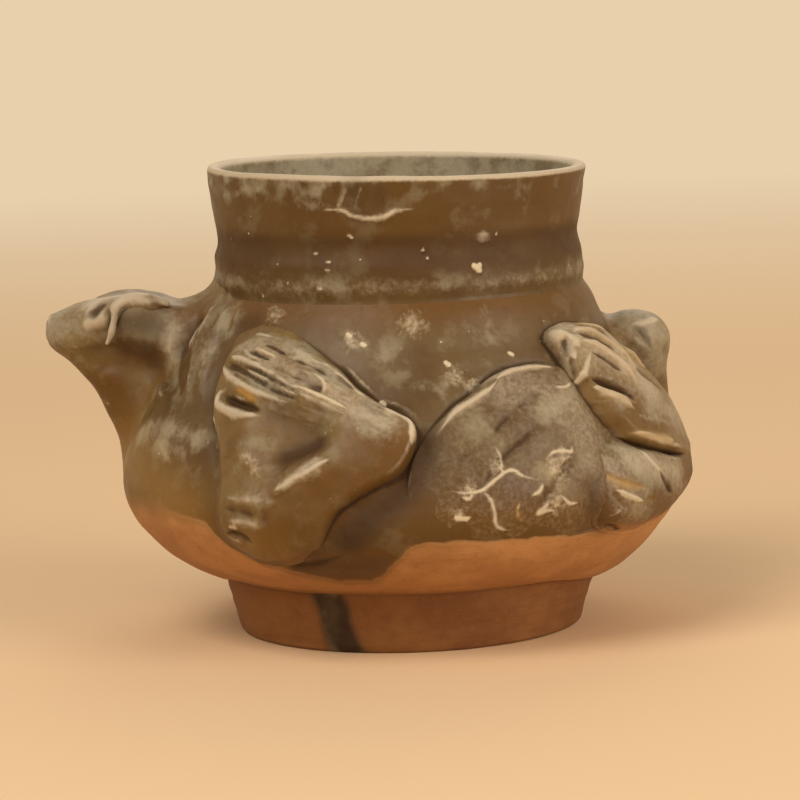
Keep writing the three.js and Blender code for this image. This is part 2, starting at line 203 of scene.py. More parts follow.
class Clay:
    """A surface being worked: its points and normals, how far it is moved, and its tints."""

    def __init__(self, points, normals):
        self.points = points
        self.normals = normals
        self.height = np.zeros(len(points))
        self.give = np.ones(len(points))
        self.tints = {name: np.zeros(len(points)) for name in TINTS}

    def near(self, line, reach):
        inside = np.all((self.points > line.min(0) - reach) & (self.points < line.max(0) + reach), axis=1)
        return np.flatnonzero(inside)

    def stain(self, here, strength, tints):
        for name, amount in tints.items():
            tint = self.tints[name]
            tint[here] = np.maximum(tint[here], amount * strength)

    def mark(self, line, width, height=0.0, **tints):
        """A ridge, or a groove where the height is below zero. Its ends run out to points, and its
        sides are as ragged as soft clay leaves them."""
        here = self.near(line, 3.4 * width)
        gap, share = distance(self.points[here], line)
        ragged = noise(self.points[here], 1.2, 7.7)
        uneven = noise(self.points[here], 3.3, 2.2)
        taper = ease(np.minimum(share, 1 - share) / 0.32 + 0.1)
        across = gap * (1 + 0.3 * ragged) / (width * (0.35 + 0.65 * taper) * (1 + 0.35 * uneven))
        shape = height * (1 + 0.3 * uneven) * np.exp(-1.5 * across ** 2)
        self.height[here] += self.give[here] * np.sqrt(taper) * shape
        self.stain(here, np.sqrt(taper) * (1 + 0.3 * ragged) * np.exp(-across ** 2), tints)

    def streaks(self, line, reach, size, height, worn=0.0, shift=0.0):
        """Fine lines along a path, as a thumb or a brush leaves them, out to so far beside it."""
        here = self.near(line, 1.1 * reach)
        gap, share = distance(self.points[here], line)
        place = share * (len(line) - 1)
        index = np.minimum(place.astype(int), len(line) - 2)
        step = line[index + 1] - line[index]
        offset = self.points[here] - line[index] - (place - index)[:, None] * step
        sideways = np.cross(step, self.normals[here])
        sideways /= np.maximum(np.linalg.norm(sideways, axis=1, keepdims=True), 1e-9)
        across = np.sum(offset * sideways, axis=1)
        along = place * np.linalg.norm(line[-1] - line[0]) / (len(line) - 1)
        lines = noise(np.stack([along / 7, across, 0 * along], 1), size, shift)
        lines += 0.5 * noise(np.stack([along / 4, across, 0 * along], 1), 0.5 * size, shift + 3)
        fade = ease((reach - gap) / (0.5 * reach)) * ease(np.minimum(share, 1 - share) / 0.12)
        self.height[here] += self.give[here] * height * lines * fade
        self.stain(here, ease((lines - 0.1) / 0.6) * fade, {"worn": worn})
        self.stain(here, ease((-lines - 0.25) / 0.6) * fade, {"pooled": 0.6 * worn})

    def press(self, line, radius, height=0.0, **tints):
        """A dent or a swelling along a line, or round one place."""
        line = np.atleast_2d(line)
        line = np.vstack([line, line[-1:] + 0.01])
        here = self.near(line, 2 * radius)
        gap = distance(self.points[here], line)[0]
        shape = np.exp(-(gap / radius) ** 2)
        self.height[here] += self.give[here] * height * shape
        self.stain(here, shape, tints)

    def fingers(self, size, height, shift=0.0):
        """The unevenness that hands leave."""
        self.height += self.give * height * noise(self.points, size, shift)

    def rub(self, amount):
        """Rubs the whole surface pale."""
        self.tints["worn"] += amount

    def moved(self):
        return self.points + self.normals * self.height[:, None]


def work(clay, rows, along=path):
    """Works the clay by a table with a row for each mark: the tool, its sizes in mm in the order that
    the tool takes them, its tints, and after a colon the stops of its path, which are angles and
    heights as in path unless another function is given. With stops alone, the row above is repeated.
    A tool for the whole surface has neither colon nor stops."""
    for row in rows.strip().splitlines():
        settings, colon, stops = row.partition(":")
        if settings:
            tool, *words = settings.split()
            sizes = [float(word) for word in words if "=" not in word]
            pairs = [word.split("=") for word in words if "=" in word]
            tints = {name: float(strength) for name, strength in pairs}
        line = [along(*listed(stops))] if colon else []
        getattr(clay, tool)(*line, *sizes, **tints)


# Meshes and objects


def linked(name, data):
    """A new object of the scene."""
    thing = bpy.data.objects.new(name, data)
    bpy.context.scene.collection.objects.link(thing)
    return thing


def skin(rings):
    """Points, quads and triangles of a skin over rings of places, closed at both ends, facing out."""
    rows, count = rings.shape[:2]
    points = np.vstack([rings.reshape(-1, 3), rings[0].mean(0), rings[-1].mean(0)])
    here = np.arange(rows * count).reshape(rows, count)
    after = np.roll(here, -1, axis=1)
    quads = np.stack([here[:-1], after[:-1], after[1:], here[1:]], -1).reshape(-1, 4)
    centre = np.full(count, rows * count)
    triangles = np.vstack([
        np.stack([after[0], here[0], centre], 1), np.stack([here[-1], after[-1], centre + 1], 1),
    ])
    if face_normals(points, quads)[1] + face_normals(points, triangles)[1] < 0:
        return points, quads[:, ::-1], triangles[:, ::-1]
    return points, quads, triangles


def face_normals(points, faces):
    """Each face's normal, as long as its area, and how much volume the faces hold."""
    a, b, c, d = points[faces[:, 0]], points[faces[:, 1]], points[faces[:, 2]], points[faces[:, -1]]
    normals = np.cross(c - a, d - b) / 2
    return normals, np.sum(normals * (a + c))


def vertex_normals(points, *kinds):
    total = np.zeros_like(points)
    for faces in kinds:
        normals = face_normals(points, faces)[0]
        for corner in faces.T:
            for axis in range(3):
                total[:, axis] += np.bincount(corner, normals[:, axis], len(points))
    return total / np.maximum(np.linalg.norm(total, axis=1, keepdims=True), 1e-12)


# Pieces are gathered here with their points in mm, their faces and their tints, and are written to
# meshes together by fire(), because grooves and ridges are measured over the whole pot.

pieces = []


def gather(name, points, quads, triangles, tints, slot):
    pieces.append((name, points, quads, triangles, tints, slot))


def gather_mirrored(name, slot, lower=0.0):
    """The last piece again on the animal's other side, a little different as hands leave it."""
    points, quads, triangles, tints = pieces[-1][1:5]
    sway = np.stack([noise(points, 14, k) for k in (1.3, 4.1, 7.7)], 1)
    points = (points + 0.45 * sway * [1, 0.4, 1] - [0, 0, lower]) * [1, -1, 1]
    gather(name, points, quads[:, ::-1], triangles[:, ::-1], tints, slot)


def blurred(field, radius):
    """A field smoothed over so many cells."""
    reach = math.ceil(2.4 * radius)
    steps = range(-reach, reach + 1)
    weights = np.exp(-0.5 * (np.array(steps) / radius) ** 2)
    weights /= weights.sum()
    for axis in range(3):
        field = sum(np.float32(w) * np.roll(field, k, axis) for w, k in zip(weights, steps))
    return field


def sampled(field, places):
    """The field's values at places given in cells."""
    cell = np.floor(places).astype(int)
    part = places - cell
    total = np.zeros(len(places))
    for corner in np.ndindex(2, 2, 2):
        weight = np.prod(np.where(corner, part, 1 - part), axis=1)
        total += weight * field[tuple((cell + corner).T)]
    return total


# The cells in which clay is measured and the empty room round the pot, in mm
CELL = 0.4
ROOM = 4


def fire():
    """Measures how hollow or raised each place is, from the share of clay round it, at two sizes:
    hollow for tool marks and edges, and deep for the clefts between limbs. Then writes the meshes,
    with glaze rubbed off what is raised, gathered dark in tool marks, and painted shade in the clefts."""
    low = np.min([piece[1].min(0) for piece in pieces], axis=0) - ROOM
    high = np.max([piece[1].max(0) for piece in pieces], axis=0) + ROOM
    shape = np.ceil((high - low) / CELL).astype(int)
    clay = np.zeros(shape, np.float32)
    transform = openvdb.createLinearTransform(voxelSize=CELL)
    for _, points, quads, triangles, *_ in pieces:
        grid = openvdb.FloatGrid.createLevelSetFromPolygons(
            (points - low).astype(np.float32), triangles.astype(np.uint32), quads.astype(np.uint32),
            transform,
        )
        gap = np.empty(shape, np.float32)
        grid.copyToArray(gap)
        clay = np.maximum(clay, np.clip(0.5 - gap / CELL, 0, 1))
    fine = blurred(clay, 1.7)
    coarse = blurred(fine[::3, ::3, ::3], 1.9)
    for name, points, quads, triangles, tints, slot in pieces:
        hollow = sampled(fine, (points - low) / CELL) - 0.5
        deep = sampled(coarse, (points - low) / CELL / 3) - 0.5
        soft = np.interp(angles_of(points), *np.transpose(SOFT_EDGE))
        fields = {"glazed": glaze_depth(points), "soft": soft} | tints
        near_edge = ease(1 - fields["glazed"] / 14) * (0.75 + 0.4 * noise(points, 7, 9.2))
        near_edge *= ease(points[:, 2] - foot_height)
        fields["lean"] = np.clip(tints["lean"] + near_edge, 0, 1)
        fields["worn"] = np.clip(tints["worn"] + 0.9 * ease((-hollow - 0.06) / 0.12), 0, 1)
        # Dark where glaze gathers in tool marks, plus painted shade in broad hollows and the clefts between
        # limbs, thinned along the joints of neck and foot
        sunk_and_shade = tints["pooled"] + 0.9 * ease((hollow - 0.05) / 0.15) + 0.6 * ease((deep - 0.07) / 0.17)
        joints = np.exp(-((points[:, 2] - joint_height) / 1.2) ** 2)
        joints += np.exp(-((points[:, 2] - foot_height - crease(points)) / 1.2) ** 2)
        fields["sunk_and_shade"] = np.clip(sunk_and_shade * (1 - 0.7 * joints), 0, 0.85)
        write_piece(name, points, quads, triangles, fields, slot)


def write_piece(name, points, quads, triangles, fields, slot):
    mesh = bpy.data.meshes.new(name + "_clay")
    corners = np.concatenate([quads.ravel(), triangles.ravel()])
    starts = np.concatenate([4 * np.arange(len(quads)), 4 * len(quads) + 3 * np.arange(len(triangles))])
    mesh.vertices.add(len(points))
    mesh.vertices.foreach_set("co", (points * MM).astype(np.float32).ravel())
    mesh.loops.add(len(corners))
    mesh.loops.foreach_set("vertex_index", corners.astype(np.int32))
    mesh.polygons.add(len(starts))
    mesh.polygons.foreach_set("loop_start", starts.astype(np.int32))
    mesh.update(calc_edges=True)
    mesh.validate()
    mesh.shade_smooth()
    for field in FIELDS:
        attribute = mesh.attributes.new(field, "FLOAT", "POINT")
        attribute.data.foreach_set("value", fields[field].astype(np.float32))
    mesh.materials.append(FINISHES[slot])
    piece = linked(name + "_clay", mesh)
    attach(piece, "root")
    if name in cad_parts:
        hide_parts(name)


# Where the glaze ends: heights in mm at angles round the pot, with 0 facing -Y. It reaches lowest
# beside the left foreleg, where it ran down over the foot.

GLAZE_EDGE = listed("""
-180 18, -150 19, -120 20, -90 23, -60 25.2, -50 24, -45 23.6, -42 21.4, -39.7 19.3, -34.2 16.9,
-25.3 15.3, -16.4 13.9, -9.5 13.9, -6.4 15, -2.8 18.2, 0.6 20.6, 4 21.3, 15 21, 27 20.6, 40 20,
60 20.6, 75 21.5, 100 20, 140 19, 180 18
""")
# How gradually it ends there, from 0, in a line, to 1, over several mm
SOFT_EDGE = listed("""
-180 0.7, -64 0.8, -52 0.35, -40 0.1, -26 0.3, -8 0.4, -1 0.35, 5 0.05, 38 0.05, 44 0.5, 100 0.7, 180 0.7
""")


def angles_of(points):
    return np.degrees(np.arctan2(points[:, 0], -points[:, 1]))


def glaze_depth(points):
    """How far each point lies above the glaze's lower edge, in mm, and below zero on bare clay."""
    return points[:, 2] - np.interp(angles_of(points), *np.transpose(GLAZE_EDGE))


# Materials


def colour(text):
    """A colour written as sRGB hex, as the linear colour that the shader takes."""
    parts = [int(text[i:i + 2], 16) / 255 for i in (1, 3, 5)]
    return [p / 12.92 if p <= 0.04045 else ((p + 0.055) / 1.055) ** 2.4 for p in parts] + [1.0]


def empty_tree(owner):
    """The node tree of a material or a world, with nothing in it."""
    owner.use_nodes = True
    owner.node_tree.nodes.clear()
    return owner.node_tree


def add(tree, kind, inputs=None, out=None, **settings):
    """Adds a node with its settings. An input is a value or another node's output, which is linked."""
    node = tree.nodes.new("ShaderNode" + kind)
    for key, value in settings.items():
        setattr(node, key, value)
    for key, value in (inputs or {}).items():
        socket = node.inputs[key] if isinstance(key, int) else next(
            socket for socket in node.inputs if socket.enabled and socket.name == key)
        if isinstance(value, bpy.types.NodeSocket):
            tree.links.new(value, socket)
        else:
            socket.default_value = colour(value) if isinstance(value, str) else value
    return node.outputs[out] if out else next((socket for socket in node.outputs if socket.enabled), None)


# The values that each point of a mesh carries for the glaze
FIELDS = ("worn", "sunk_and_shade", "rust", "lime", "ash", "lean", "glazed", "soft")
# Noises: the size of their lumps in mm, their detail, and their stretch round the pot. Scuffs are
# finer on real glaze, and are drawn as coarse as they need to show.
GRAIN = {
    "patches": (13, 4, 1), "clouds": (5.5, 5, 1), "mottle": (1.5, 4, 1), "scuff": (0.8, 4, 1),
    "streaks": (6, 4, 0.4), "wander": (5, 4, 1), "toast": (11, 4, 1), "lines": (0.45, 2, 20),
}
# How far apart specks lie, in mm
SPECKS = 2.1
# What is worked out from them, in this order: a name, then a soft step of a value from where it
# begins to where it ends, up to 1 or to the last number, or else a sum and its terms
RECIPE = (
    ("thick", "STEP", "patches", 0.38, 0.64), ("mist", "STEP", "clouds", 0.5, 0.72, 0.65),
    ("dark", "STEP", "mottle", 0.5, 0.76, 0.4), ("streaked", "STEP", "streaks", 0.52, 0.7, 0.4),
    ("broken", "STEP", "scuff", 0.32, 0.68, 0.18), ("patchy", "STEP", "clouds", 0.34, 0.64),
    ("pitted", "STEP", "clouds", 0.56, 0.66, 0.9), ("toasted", "STEP", "toast", 0.4, 0.64),
    ("dull", "STEP", "clouds", 0.3, 0.7, 0.16),
    ("worn", "ADD", "broken", "worn"), ("worn", "STEP", "worn", 0.15, 1.1),
    ("lime", "ADD", "broken", "lime"), ("lime", "STEP", "lime", 0.2, 0.72),
    ("ash", "ADD", "patchy", "ash"), ("ash", "STEP", "ash", 0.75, 1.9),
    ("pits", "STEP", "specks", 0.13, 0.05), ("pits", "MULTIPLY", "pits", "pitted"),
    # Where the glaze covers the clay, and the thin line along its edge
    ("wander", "MULTIPLY_ADD", "wander", 2.0, -1.0), ("depth", "ADD", "glazed", "wander"),
    ("start", "MULTIPLY_ADD", "soft", -4.5, -0.15), ("end", "MULTIPLY_ADD", "soft", 3.0, 0.15),
    ("cover", "STEP", "depth", "start", "end"),
    ("below", "STEP", "depth", -0.5, -0.05), ("above", "STEP", "depth", 0.45, 0.1),
    ("crisp", "MULTIPLY_ADD", "soft", -0.9, 0.55), ("crisp", "MAXIMUM", "crisp", 0.0),
    ("line", "MULTIPLY", "below", "above"), ("line", "MULTIPLY", "line", "crisp"),
    # Roughness of the glaze, and the relief of glaze and of clay
    ("sheen", "MULTIPLY_ADD", "worn", 0.12, 0.4), ("sheen", "ADD", "sheen", "dull"),
    ("sheen", "MULTIPLY_ADD", "sunk_and_shade", 0.32, "sheen"),
    ("crawled", "MULTIPLY", "scuff", 0.45), ("crawled", "SUBTRACT", "crawled", "pits"),
    ("turned", "ADD", "lines", "scuff"),
)


def stoneware(name, thin, thick, mist, clay, toasted):
    """Stoneware under a thin dipped ash glaze: a soft gloss, browner where the glaze is thin and olive
    where it is thick, dark where it gathers in hollows and where shade is painted into hollows and
    clefts, rubbed pale along ridges, clouded and pitted. Where the glaze ends in a thin pale line the
    clay is matt and reddish brown, with fine turning lines."""
    material = bpy.data.materials.new(name)
    tree = empty_tree(material)
    place = add(tree, "TexCoord", out="Object")
    value = {key: add(tree, "Attribute", out="Fac", attribute_name=key) for key in FIELDS}
    for key, (size, detail, stretch) in GRAIN.items():
        spot = add(tree, "Mapping", {"Vector": place, "Scale": (1 / stretch, 1 / stretch, 1)})
        inputs = {"Vector": spot, "Scale": 1 / (size * MM), "Detail": detail, "Roughness": 0.58}
        value[key] = add(tree, "TexNoise", inputs)
    value["specks"] = add(tree, "TexVoronoi", {"Vector": place, "Scale": 1 / (SPECKS * MM)})
    for key, way, *terms in RECIPE:
        terms = [value.get(term, term) for term in terms]
        if way == "STEP":
            inputs = dict(zip(("Value", "From Min", "From Max", "To Max"), terms))
            value[key] = add(tree, "MapRange", inputs, interpolation_type="SMOOTHSTEP")
        else:
            value[key] = add(tree, "Math", dict(enumerate(terms)), operation=way)
    value |= {"glaze": thin, "whole": clay}
    # Near-black #38230b on glaze and #3c2514 on clay darken where glaze gathers and also paint shade into
    # hollows and clefts; brown #5f3f10 is thin glaze and in places painted shade; pale #bbac92 is rubbed
    # glaze and in places a painted highlight
    for key, share, tone in (
        ("glaze", "thick", thick), ("glaze", "streaked", "#553d1e"), ("glaze", "mist", mist),
        ("glaze", "lean", "#5f3f10"), ("glaze", "ash", "#8b8066"), ("glaze", "dark", "#493416"),
        ("glaze", "worn", "#bbac92"), ("glaze", "sunk_and_shade", "#38230b"), ("glaze", "rust", "#a07a35"),
        ("glaze", "lime", "#cbbb9c"), ("glaze", "pits", "#c7b79a"),
        ("whole", "toasted", toasted), ("whole", "dark", "#8a5a30"), ("whole", "sunk_and_shade", "#3c2514"),
        ("whole", "cover", "glaze"), ("whole", "line", "#b98d5a"),
    ):
        inputs = {"Factor": value[share], "A": value[key], "B": value.get(tone, tone)}
        value[key] = add(tree, "Mix", inputs, data_type="RGBA")
    rough = add(tree, "Mix", {"Factor": value["cover"], "A": 0.72, "B": value["sheen"]})
    height = add(tree, "Mix", {"Factor": value["cover"], "A": value["turned"], "B": value["crawled"]})
    height = add(tree, "Math", {0: height, 1: value["cover"]}, operation="ADD")
    normal = add(tree, "Bump", {"Height": height, "Strength": 0.6, "Distance": 0.15 * MM})
    shader = add(tree, "BsdfPrincipled", {
        "Base Color": value["whole"], "Roughness": rough, "Normal": normal, "IOR": 1.5,
        "Specular IOR Level": 0.36,
    })
    add(tree, "OutputMaterial", {"Surface": shader})
    return material


# Each slot's finish, with its colours: thin and thick glaze, mist on it, bare and toasted clay
FINISHES = {
    # A warm brown under cloudy olive, over a belly whose lower part is bare
    "belly_glaze": stoneware("ash_glaze_on_belly", "#4f3716", "#5f4b29", "#746848", "#a57444", "#b5824f"),
    # Browner and darker, run thin over the thrown ridges
    "neck_glaze": stoneware("ash_glaze_on_neck", "#4e360f", "#59441d", "#6b5f3d", "#a8733e", "#b67f49"),
    # Paler and greyer, where the limbs stand out and are rubbed
    "limb_glaze": stoneware("ash_glaze_on_limbs", "#64471f", "#776138", "#8d815f", "#a8733e", "#b67f49"),
    # Matt reddish brown clay, with one near-black run of glaze
    "bare_clay": stoneware("turned_stoneware", "#1d1811", "#15120d", "#1f1b13", "#84572c", "#734722"),
}

# Thrown and turned pieces


def turned_rings(profile, count):
    """Rings round the axis, one for each place of the profile, a radius and a height."""
    turn = np.linspace(0, 2 * np.pi, count, endpoint=False)
    return round_axis(turn, profile[:, :1], profile[:, 1:])


def stepped(profile, step):
    """The profile with a place every step along it."""
    profile = np.array(profile, float)
    line = [profile[:1]]
    for a, b in zip(profile[:-1], profile[1:]):
        count = max(1, round(np.linalg.norm(b - a) / step))
        line.append(a + (b - a) * np.arange(1, count + 1)[:, None] / count)
    return np.vstack(line)


def arc(middle, radius, start, end, steps=7):
    turn = np.radians(np.linspace(start, end, steps))
    return np.stack([middle[0] + radius * np.cos(turn), middle[1] + radius * np.sin(turn)], 1)


# How far the joint of belly and foot lies above or below its mean, in mm at angles round the pot
CREASE = listed("-180 -0.4, -90 -0.3, -55 1.2, 0 1.5, 42 0.6, 62 -0.7, 90 -1.9, 130 -1.2, 180 -0.4")


def crease(points):
    return np.interp(angles_of(points), *curve(CREASE).T)


def on_foot(*stops):
    """A smooth path over the foot through stops of angle and of height in mm."""
    line = curve(stops, 6)
    return round_axis(np.radians(line[:, 0]), np.interp(line[:, 1], *foot_rings.T), line[:, 1])


# The run of glaze down the foot, and small dents in its clay
FOOT_RUN = """
press 2.6 0.25 pooled=1.1: -26.5 8.8, -24.6 6.5, -24 3.5, -21.6 0.3
press 2.6 0.1 ash=0.9: -26 8.6, -26.5 5, -27 0.5
mark 0.45 0.1 lime=0.7: -17.6 7.2, -17.2 5.6
"""
FOOT_DENTS = """
press 0.55 -0.18 pooled=0.12: -8 5
: 4 5.6
: 7 5.2
: 9 4.9
: -30 3
: 20 4.4
"""


def build_foot():
    low, high = foot_rings[0, 1], foot_rings[-1, 1]
    edge = 0.9
    # It stands on a ring, a little hollow inside it, and its turned edges are round
    profile = np.vstack([
        [[6, 0.35], [low - 5, 0.35], [low - 4, 0]],
        arc((low - edge, edge), edge, -90, 0),
        arc((high - 0.4, foot_height + 0.1), 0.4, 0, 90),
        [[high - 4, foot_height + 0.5]],
    ])
    points, quads, triangles = skin(turned_rings(stepped(profile, 0.3), 640))
    clay = Clay(points, vertex_normals(points, quads, triangles))
    clay.give = ease((points[:, 2] - 0.1) / 1.2) * ease((points[:, 2] + low) / low)
    clay.height += clay.give * (0.14 * noise(points * [1, 1, 7], 9) + 0.12 * noise(points, 22))
    work(clay, FOOT_RUN, on_foot)
    clay.tints["glazed"] = 9 * (clay.tints["pooled"] - 0.42)
    clay.tints["soft"] = np.full(len(points), 0.6)
    work(clay, FOOT_DENTS, on_foot)
    places = clay.moved()
    places[:, 2] += crease(places) * ease((places[:, 2] - 2) / (foot_height - 2))
    gather("foot", places, quads, triangles, clay.tints, "bare_clay")


# The swelling of breast and shoulders on the animal's front: places, their reach in degrees and in
# percent of the belly's height, and how far they stand out in mm
BREAST = listed("""
-90 46 26 26 1.9, -74 62 14 22 0.9, -106 62 14 22 0.9, -66 84 9 16 1.5, -114 84 9 16 1.5
""")


def breast(angle, height):
    total = 0
    for middle, level_of, wide, tall, out in BREAST:
        total = total + out * np.exp(-((angle - middle) / wide) ** 2 - ((height - level_of) / tall) ** 2)
    return total


def build_belly(outlines):
    top = belly_line[-1]
    outside = belly_line[:, ::-1]
    inward = np.gradient(outside, axis=0)
    inward /= np.linalg.norm(inward, axis=1, keepdims=True)
    inside = (outside + WALL * inward[:, ::-1] * [-1, 1])[::-3]
    floor_top = belly_bottom + FLOOR
    inside = inside[inside[:, 1] > floor_top + 1]
    profile = np.vstack([
        [[8, belly_bottom + 0.3], [outside[0, 0] - 2, belly_bottom + 0.2]],
        stepped(outside, 0.36),
        [[top[1] - 0.5, top[0] + 0.3], [top[1] - 1.5, top[0] + 0.5]],
        inside,
        [[inside[-1, 0] - 1.5, floor_top], [8, floor_top]],
    ])
    points, quads, triangles = skin(turned_rings(profile, ROUND))
    clay = Clay(points, vertex_normals(points, quads, triangles))
    outer = np.hypot(points[:, 0], points[:, 1]) > wall_radius(points[:, 2]) - 0.3
    clay.give = outer * ease((points[:, 2] - belly_bottom) / 2) * ease((joint_height - points[:, 2]) / 3)
    share = percent(points[:, 2])
    clay.height += clay.give * breast(angles_of(points), share)
    clay.height += clay.give * 0.08 * noise(points * [0.2, 0.2, 1], 1.7)
    clay.fingers(16, 0.3)
    clay.fingers(5, 0.12, 3.3)
    # A groove is scored round the pads where their edges are crisp
    for outline in outlines:
        crisp = np.append(outline[:-1, 3] < CRISP, False)
        starts = np.flatnonzero(np.diff(np.concatenate([[0], crisp, [0]])))
        for first, last in starts.reshape(-1, 2):
            if last - first > 4:
                clay.mark(outline[first:last, :3], 0.8, -0.3, pooled=0.35)
    wall_marks(clay)
    clay.tints["lean"] = np.maximum(clay.tints["lean"], outer * np.exp(-((share - 99) / 8) ** 2))
    places = clay.moved()
    sink = 1 - ease((places[:, 2] - belly_bottom) / 9)
    places[:, 2] += crease(places) * sink * outer
    gather("belly", places, quads, triangles, clay.tints, "belly_glaze")


# Scored lines, lips and smears on the wall between the left foreleg, the neck and the haunch. The
# browned groove and the dark press along the forearm's lower edge are painted shadow of the forearm.
WALL_MARKS = """
mark 0.7 -0.45 pooled=0.5: -16 79.5, -12.9 75.5, -10.3 72.4, -7.8 69.4, -4.4 67.2, -1.1 64.9, 1.4 62.4, \
3.2 58.5
mark 0.4 0.22 worn=0.55: -15.6 81, -12.2 77.3, -9.8 74.4, -6.3 70.6
mark 0.45 0.12 worn=0.3: -6.1 70.2, -2.4 68.2, 1.2 65.6, 4 61.5
mark 2.8 -0.6 lean=1: 3.2 58, 2.4 51, 0 45.4, -3.2 40.8, -7.4 37.6, -11 34, -14 28.5, -16.5 22
press 3.2 pooled=0.85: 4.5 56, 2 46, -2.4 38.6, -7.4 33, -12 26
mark 1.1 -0.5 pooled=0.9: -35 13.4, -30 14.4, -25 15, -19 17, -12.4 20.7
press 1.3 rust=0.7: -33 14, -29 14.6
press 3.2 pooled=0.35 lean=1: -27 12.6, -18 14.6, -8 17
press 0.36 0.12 lime=0.9: -15.2 90, -14.4 89.4
: -11.1 87.1, -10.3 86.5
: -5.6 68.8, -4.8 68.2
: 10.9 80.3, 11.7 79.7
: 28.9 81.9, 29.7 81.3
press 2.2 lime=0.32: -14 88
press 2.4 lime=0.32: 12.8 76
: -40 96
press 2 lime=0.32: 17 73
press 3 lime=0.32: 3 93
press 2.6 ash=0.6: -9.3 84.3, -4.7 83.6, 0.5 81.5, 5.4 77, 7.3 71.4
mark 0.4 0.2 worn=0.7: 5 58, 7.5 61.5, 10.6 64.6, 14.7 67.4, 17.6 69.2, 20.6 71.4
press 1.6 0.1 ash=0.4: 24 96, 25 86
"""
# Folds of the breast on the animal's left side
BREAST_FOLDS = """
mark 1.7 0.7 worn=0.25 ash=0.5: -70 98, -67.5 91, -65.8 84, -63.4 78, -62 72, -60 65
mark 1.2 0.45 worn=0.3 ash=0.5: -61 96, -61.2 90, -60.4 84, -59 78, -57.6 72, -55 66
mark 0.6 -0.5 pooled=0.3 rust=0.25: -58.4 99, -57.6 94, -56.6 88
mark 1.4 -0.4 pooled=0.3: -53 80, -53.4 73, -51.5 66, -48 60, -45 53, -43 46
press 2 -0.5 pooled=0.35: -52.3 91, -47.5 92.5
streaks 5 1.2 0.16 0.2 1: -70 98, -65 84, -60 70
press 3.2 ash=0.9: -60 94, -59.5 84
press 2.4 -0.8 ash=0.8 pooled=0.2: -73.6 69.6, -68 67.6
press 6 rust=0.36: -84 46, -70 42, -60 38, -50 31
mark 1.3 0.5 worn=0.3: -84 68, -78 66, -72 64
press 1.1 -0.8 pooled=0.8: -76.1 58.5
press 2.6 0.3 worn=0.3 ash=0.9: -73 52, -66 54.6, -60 56, -52 55
press 1.8 0.2 worn=0.3 ash=0.9: -64.2 51.3, -57.5 50.4, -54.8 50.2
mark 0.9 0.2 worn=0.4 ash=0.8: -64.2 51.3, -56.8 45.7
"""
# The groove behind the cheek and the roll in front of it, as places in mm on the left side
CHEEK_FOLDS = """
mark 1.5 -1.1 pooled=0.6: -34.4 -9.6 57.6, -35.2 -10.2 54.2, -36.5 -10.4 50.6, -37.8 -10.6 46.6
mark 1.8 0.6 ash=0.6: -37.5 -8.6 57, -38.8 -9.2 53.5, -39.8 -9.6 49.5, -40.6 -9.6 46
"""


def beside(side):
    """Smooth paths through places in mm, on the animal's left side or, with -1, on its right."""
    return lambda *stops: curve(np.array(stops) * [1, side, 1], 6)


def wall_beside(side):
    """Smooth paths along the wall, on the animal's left side or, with -1, on its right."""
    return lambda *stops: path(*((-90 + side * (angle + 90), height) for angle, height in stops))


def wall_marks(clay):
    work(clay, WALL_MARKS)
    for side in (-1, 1):
        work(clay, CHEEK_FOLDS, beside(side))
        work(clay, BREAST_FOLDS, wall_beside(side))


# The lower edge of a thicker run of glaze on the neck, smears in it, and bits of white deposit
NECK_MARKS = """
mark 0.42 0.2 worn=1 lime=0.35: -23.2 131, -18.8 130.7, -15.7 130.3, -13.6 129, -10.9 128.2, \
-7.3 127.8, -3.6 128.4, -1.5 129.7, 1.2 130.5, 5.3 130.7
streaks 4.5 1.2 0.05 0.5 2: -14 128, -12 133, -10 139
press 2.2 pooled=0.4: -12.5 137, -11 130
press 1.8 pooled=0.3: -5 136, -5 131.5
mark 1.1 0.2 worn=0.9: 27.2 122.4, 26.8 118
mark 0.45 0.2 lime=0.9: 22 111.2, 24 110.2, 25.6 108
mark 0.3 0.15 lime=0.9: 24.6 111.6, 25.8 110.4
press 0.7 -0.25 pooled=0.8: 7.8 115.7
mark 0.26 0.1 lime=0.55: 7 116.8, 8.6 117
: 9.4 114.6, 8.4 113.8
: -26.8 116, -25 116
: -36.3 106.3, -35.4 106
: -26 105, -23.5 104.6
: -46.9 102, -46.2 101
: -22.8 113.4, -20.4 113.4
: -22.8 110.6, -20.6 110.8
: -15.4 122.6, -13 121
: 31.5 121.5, 31.8 120.4
"""


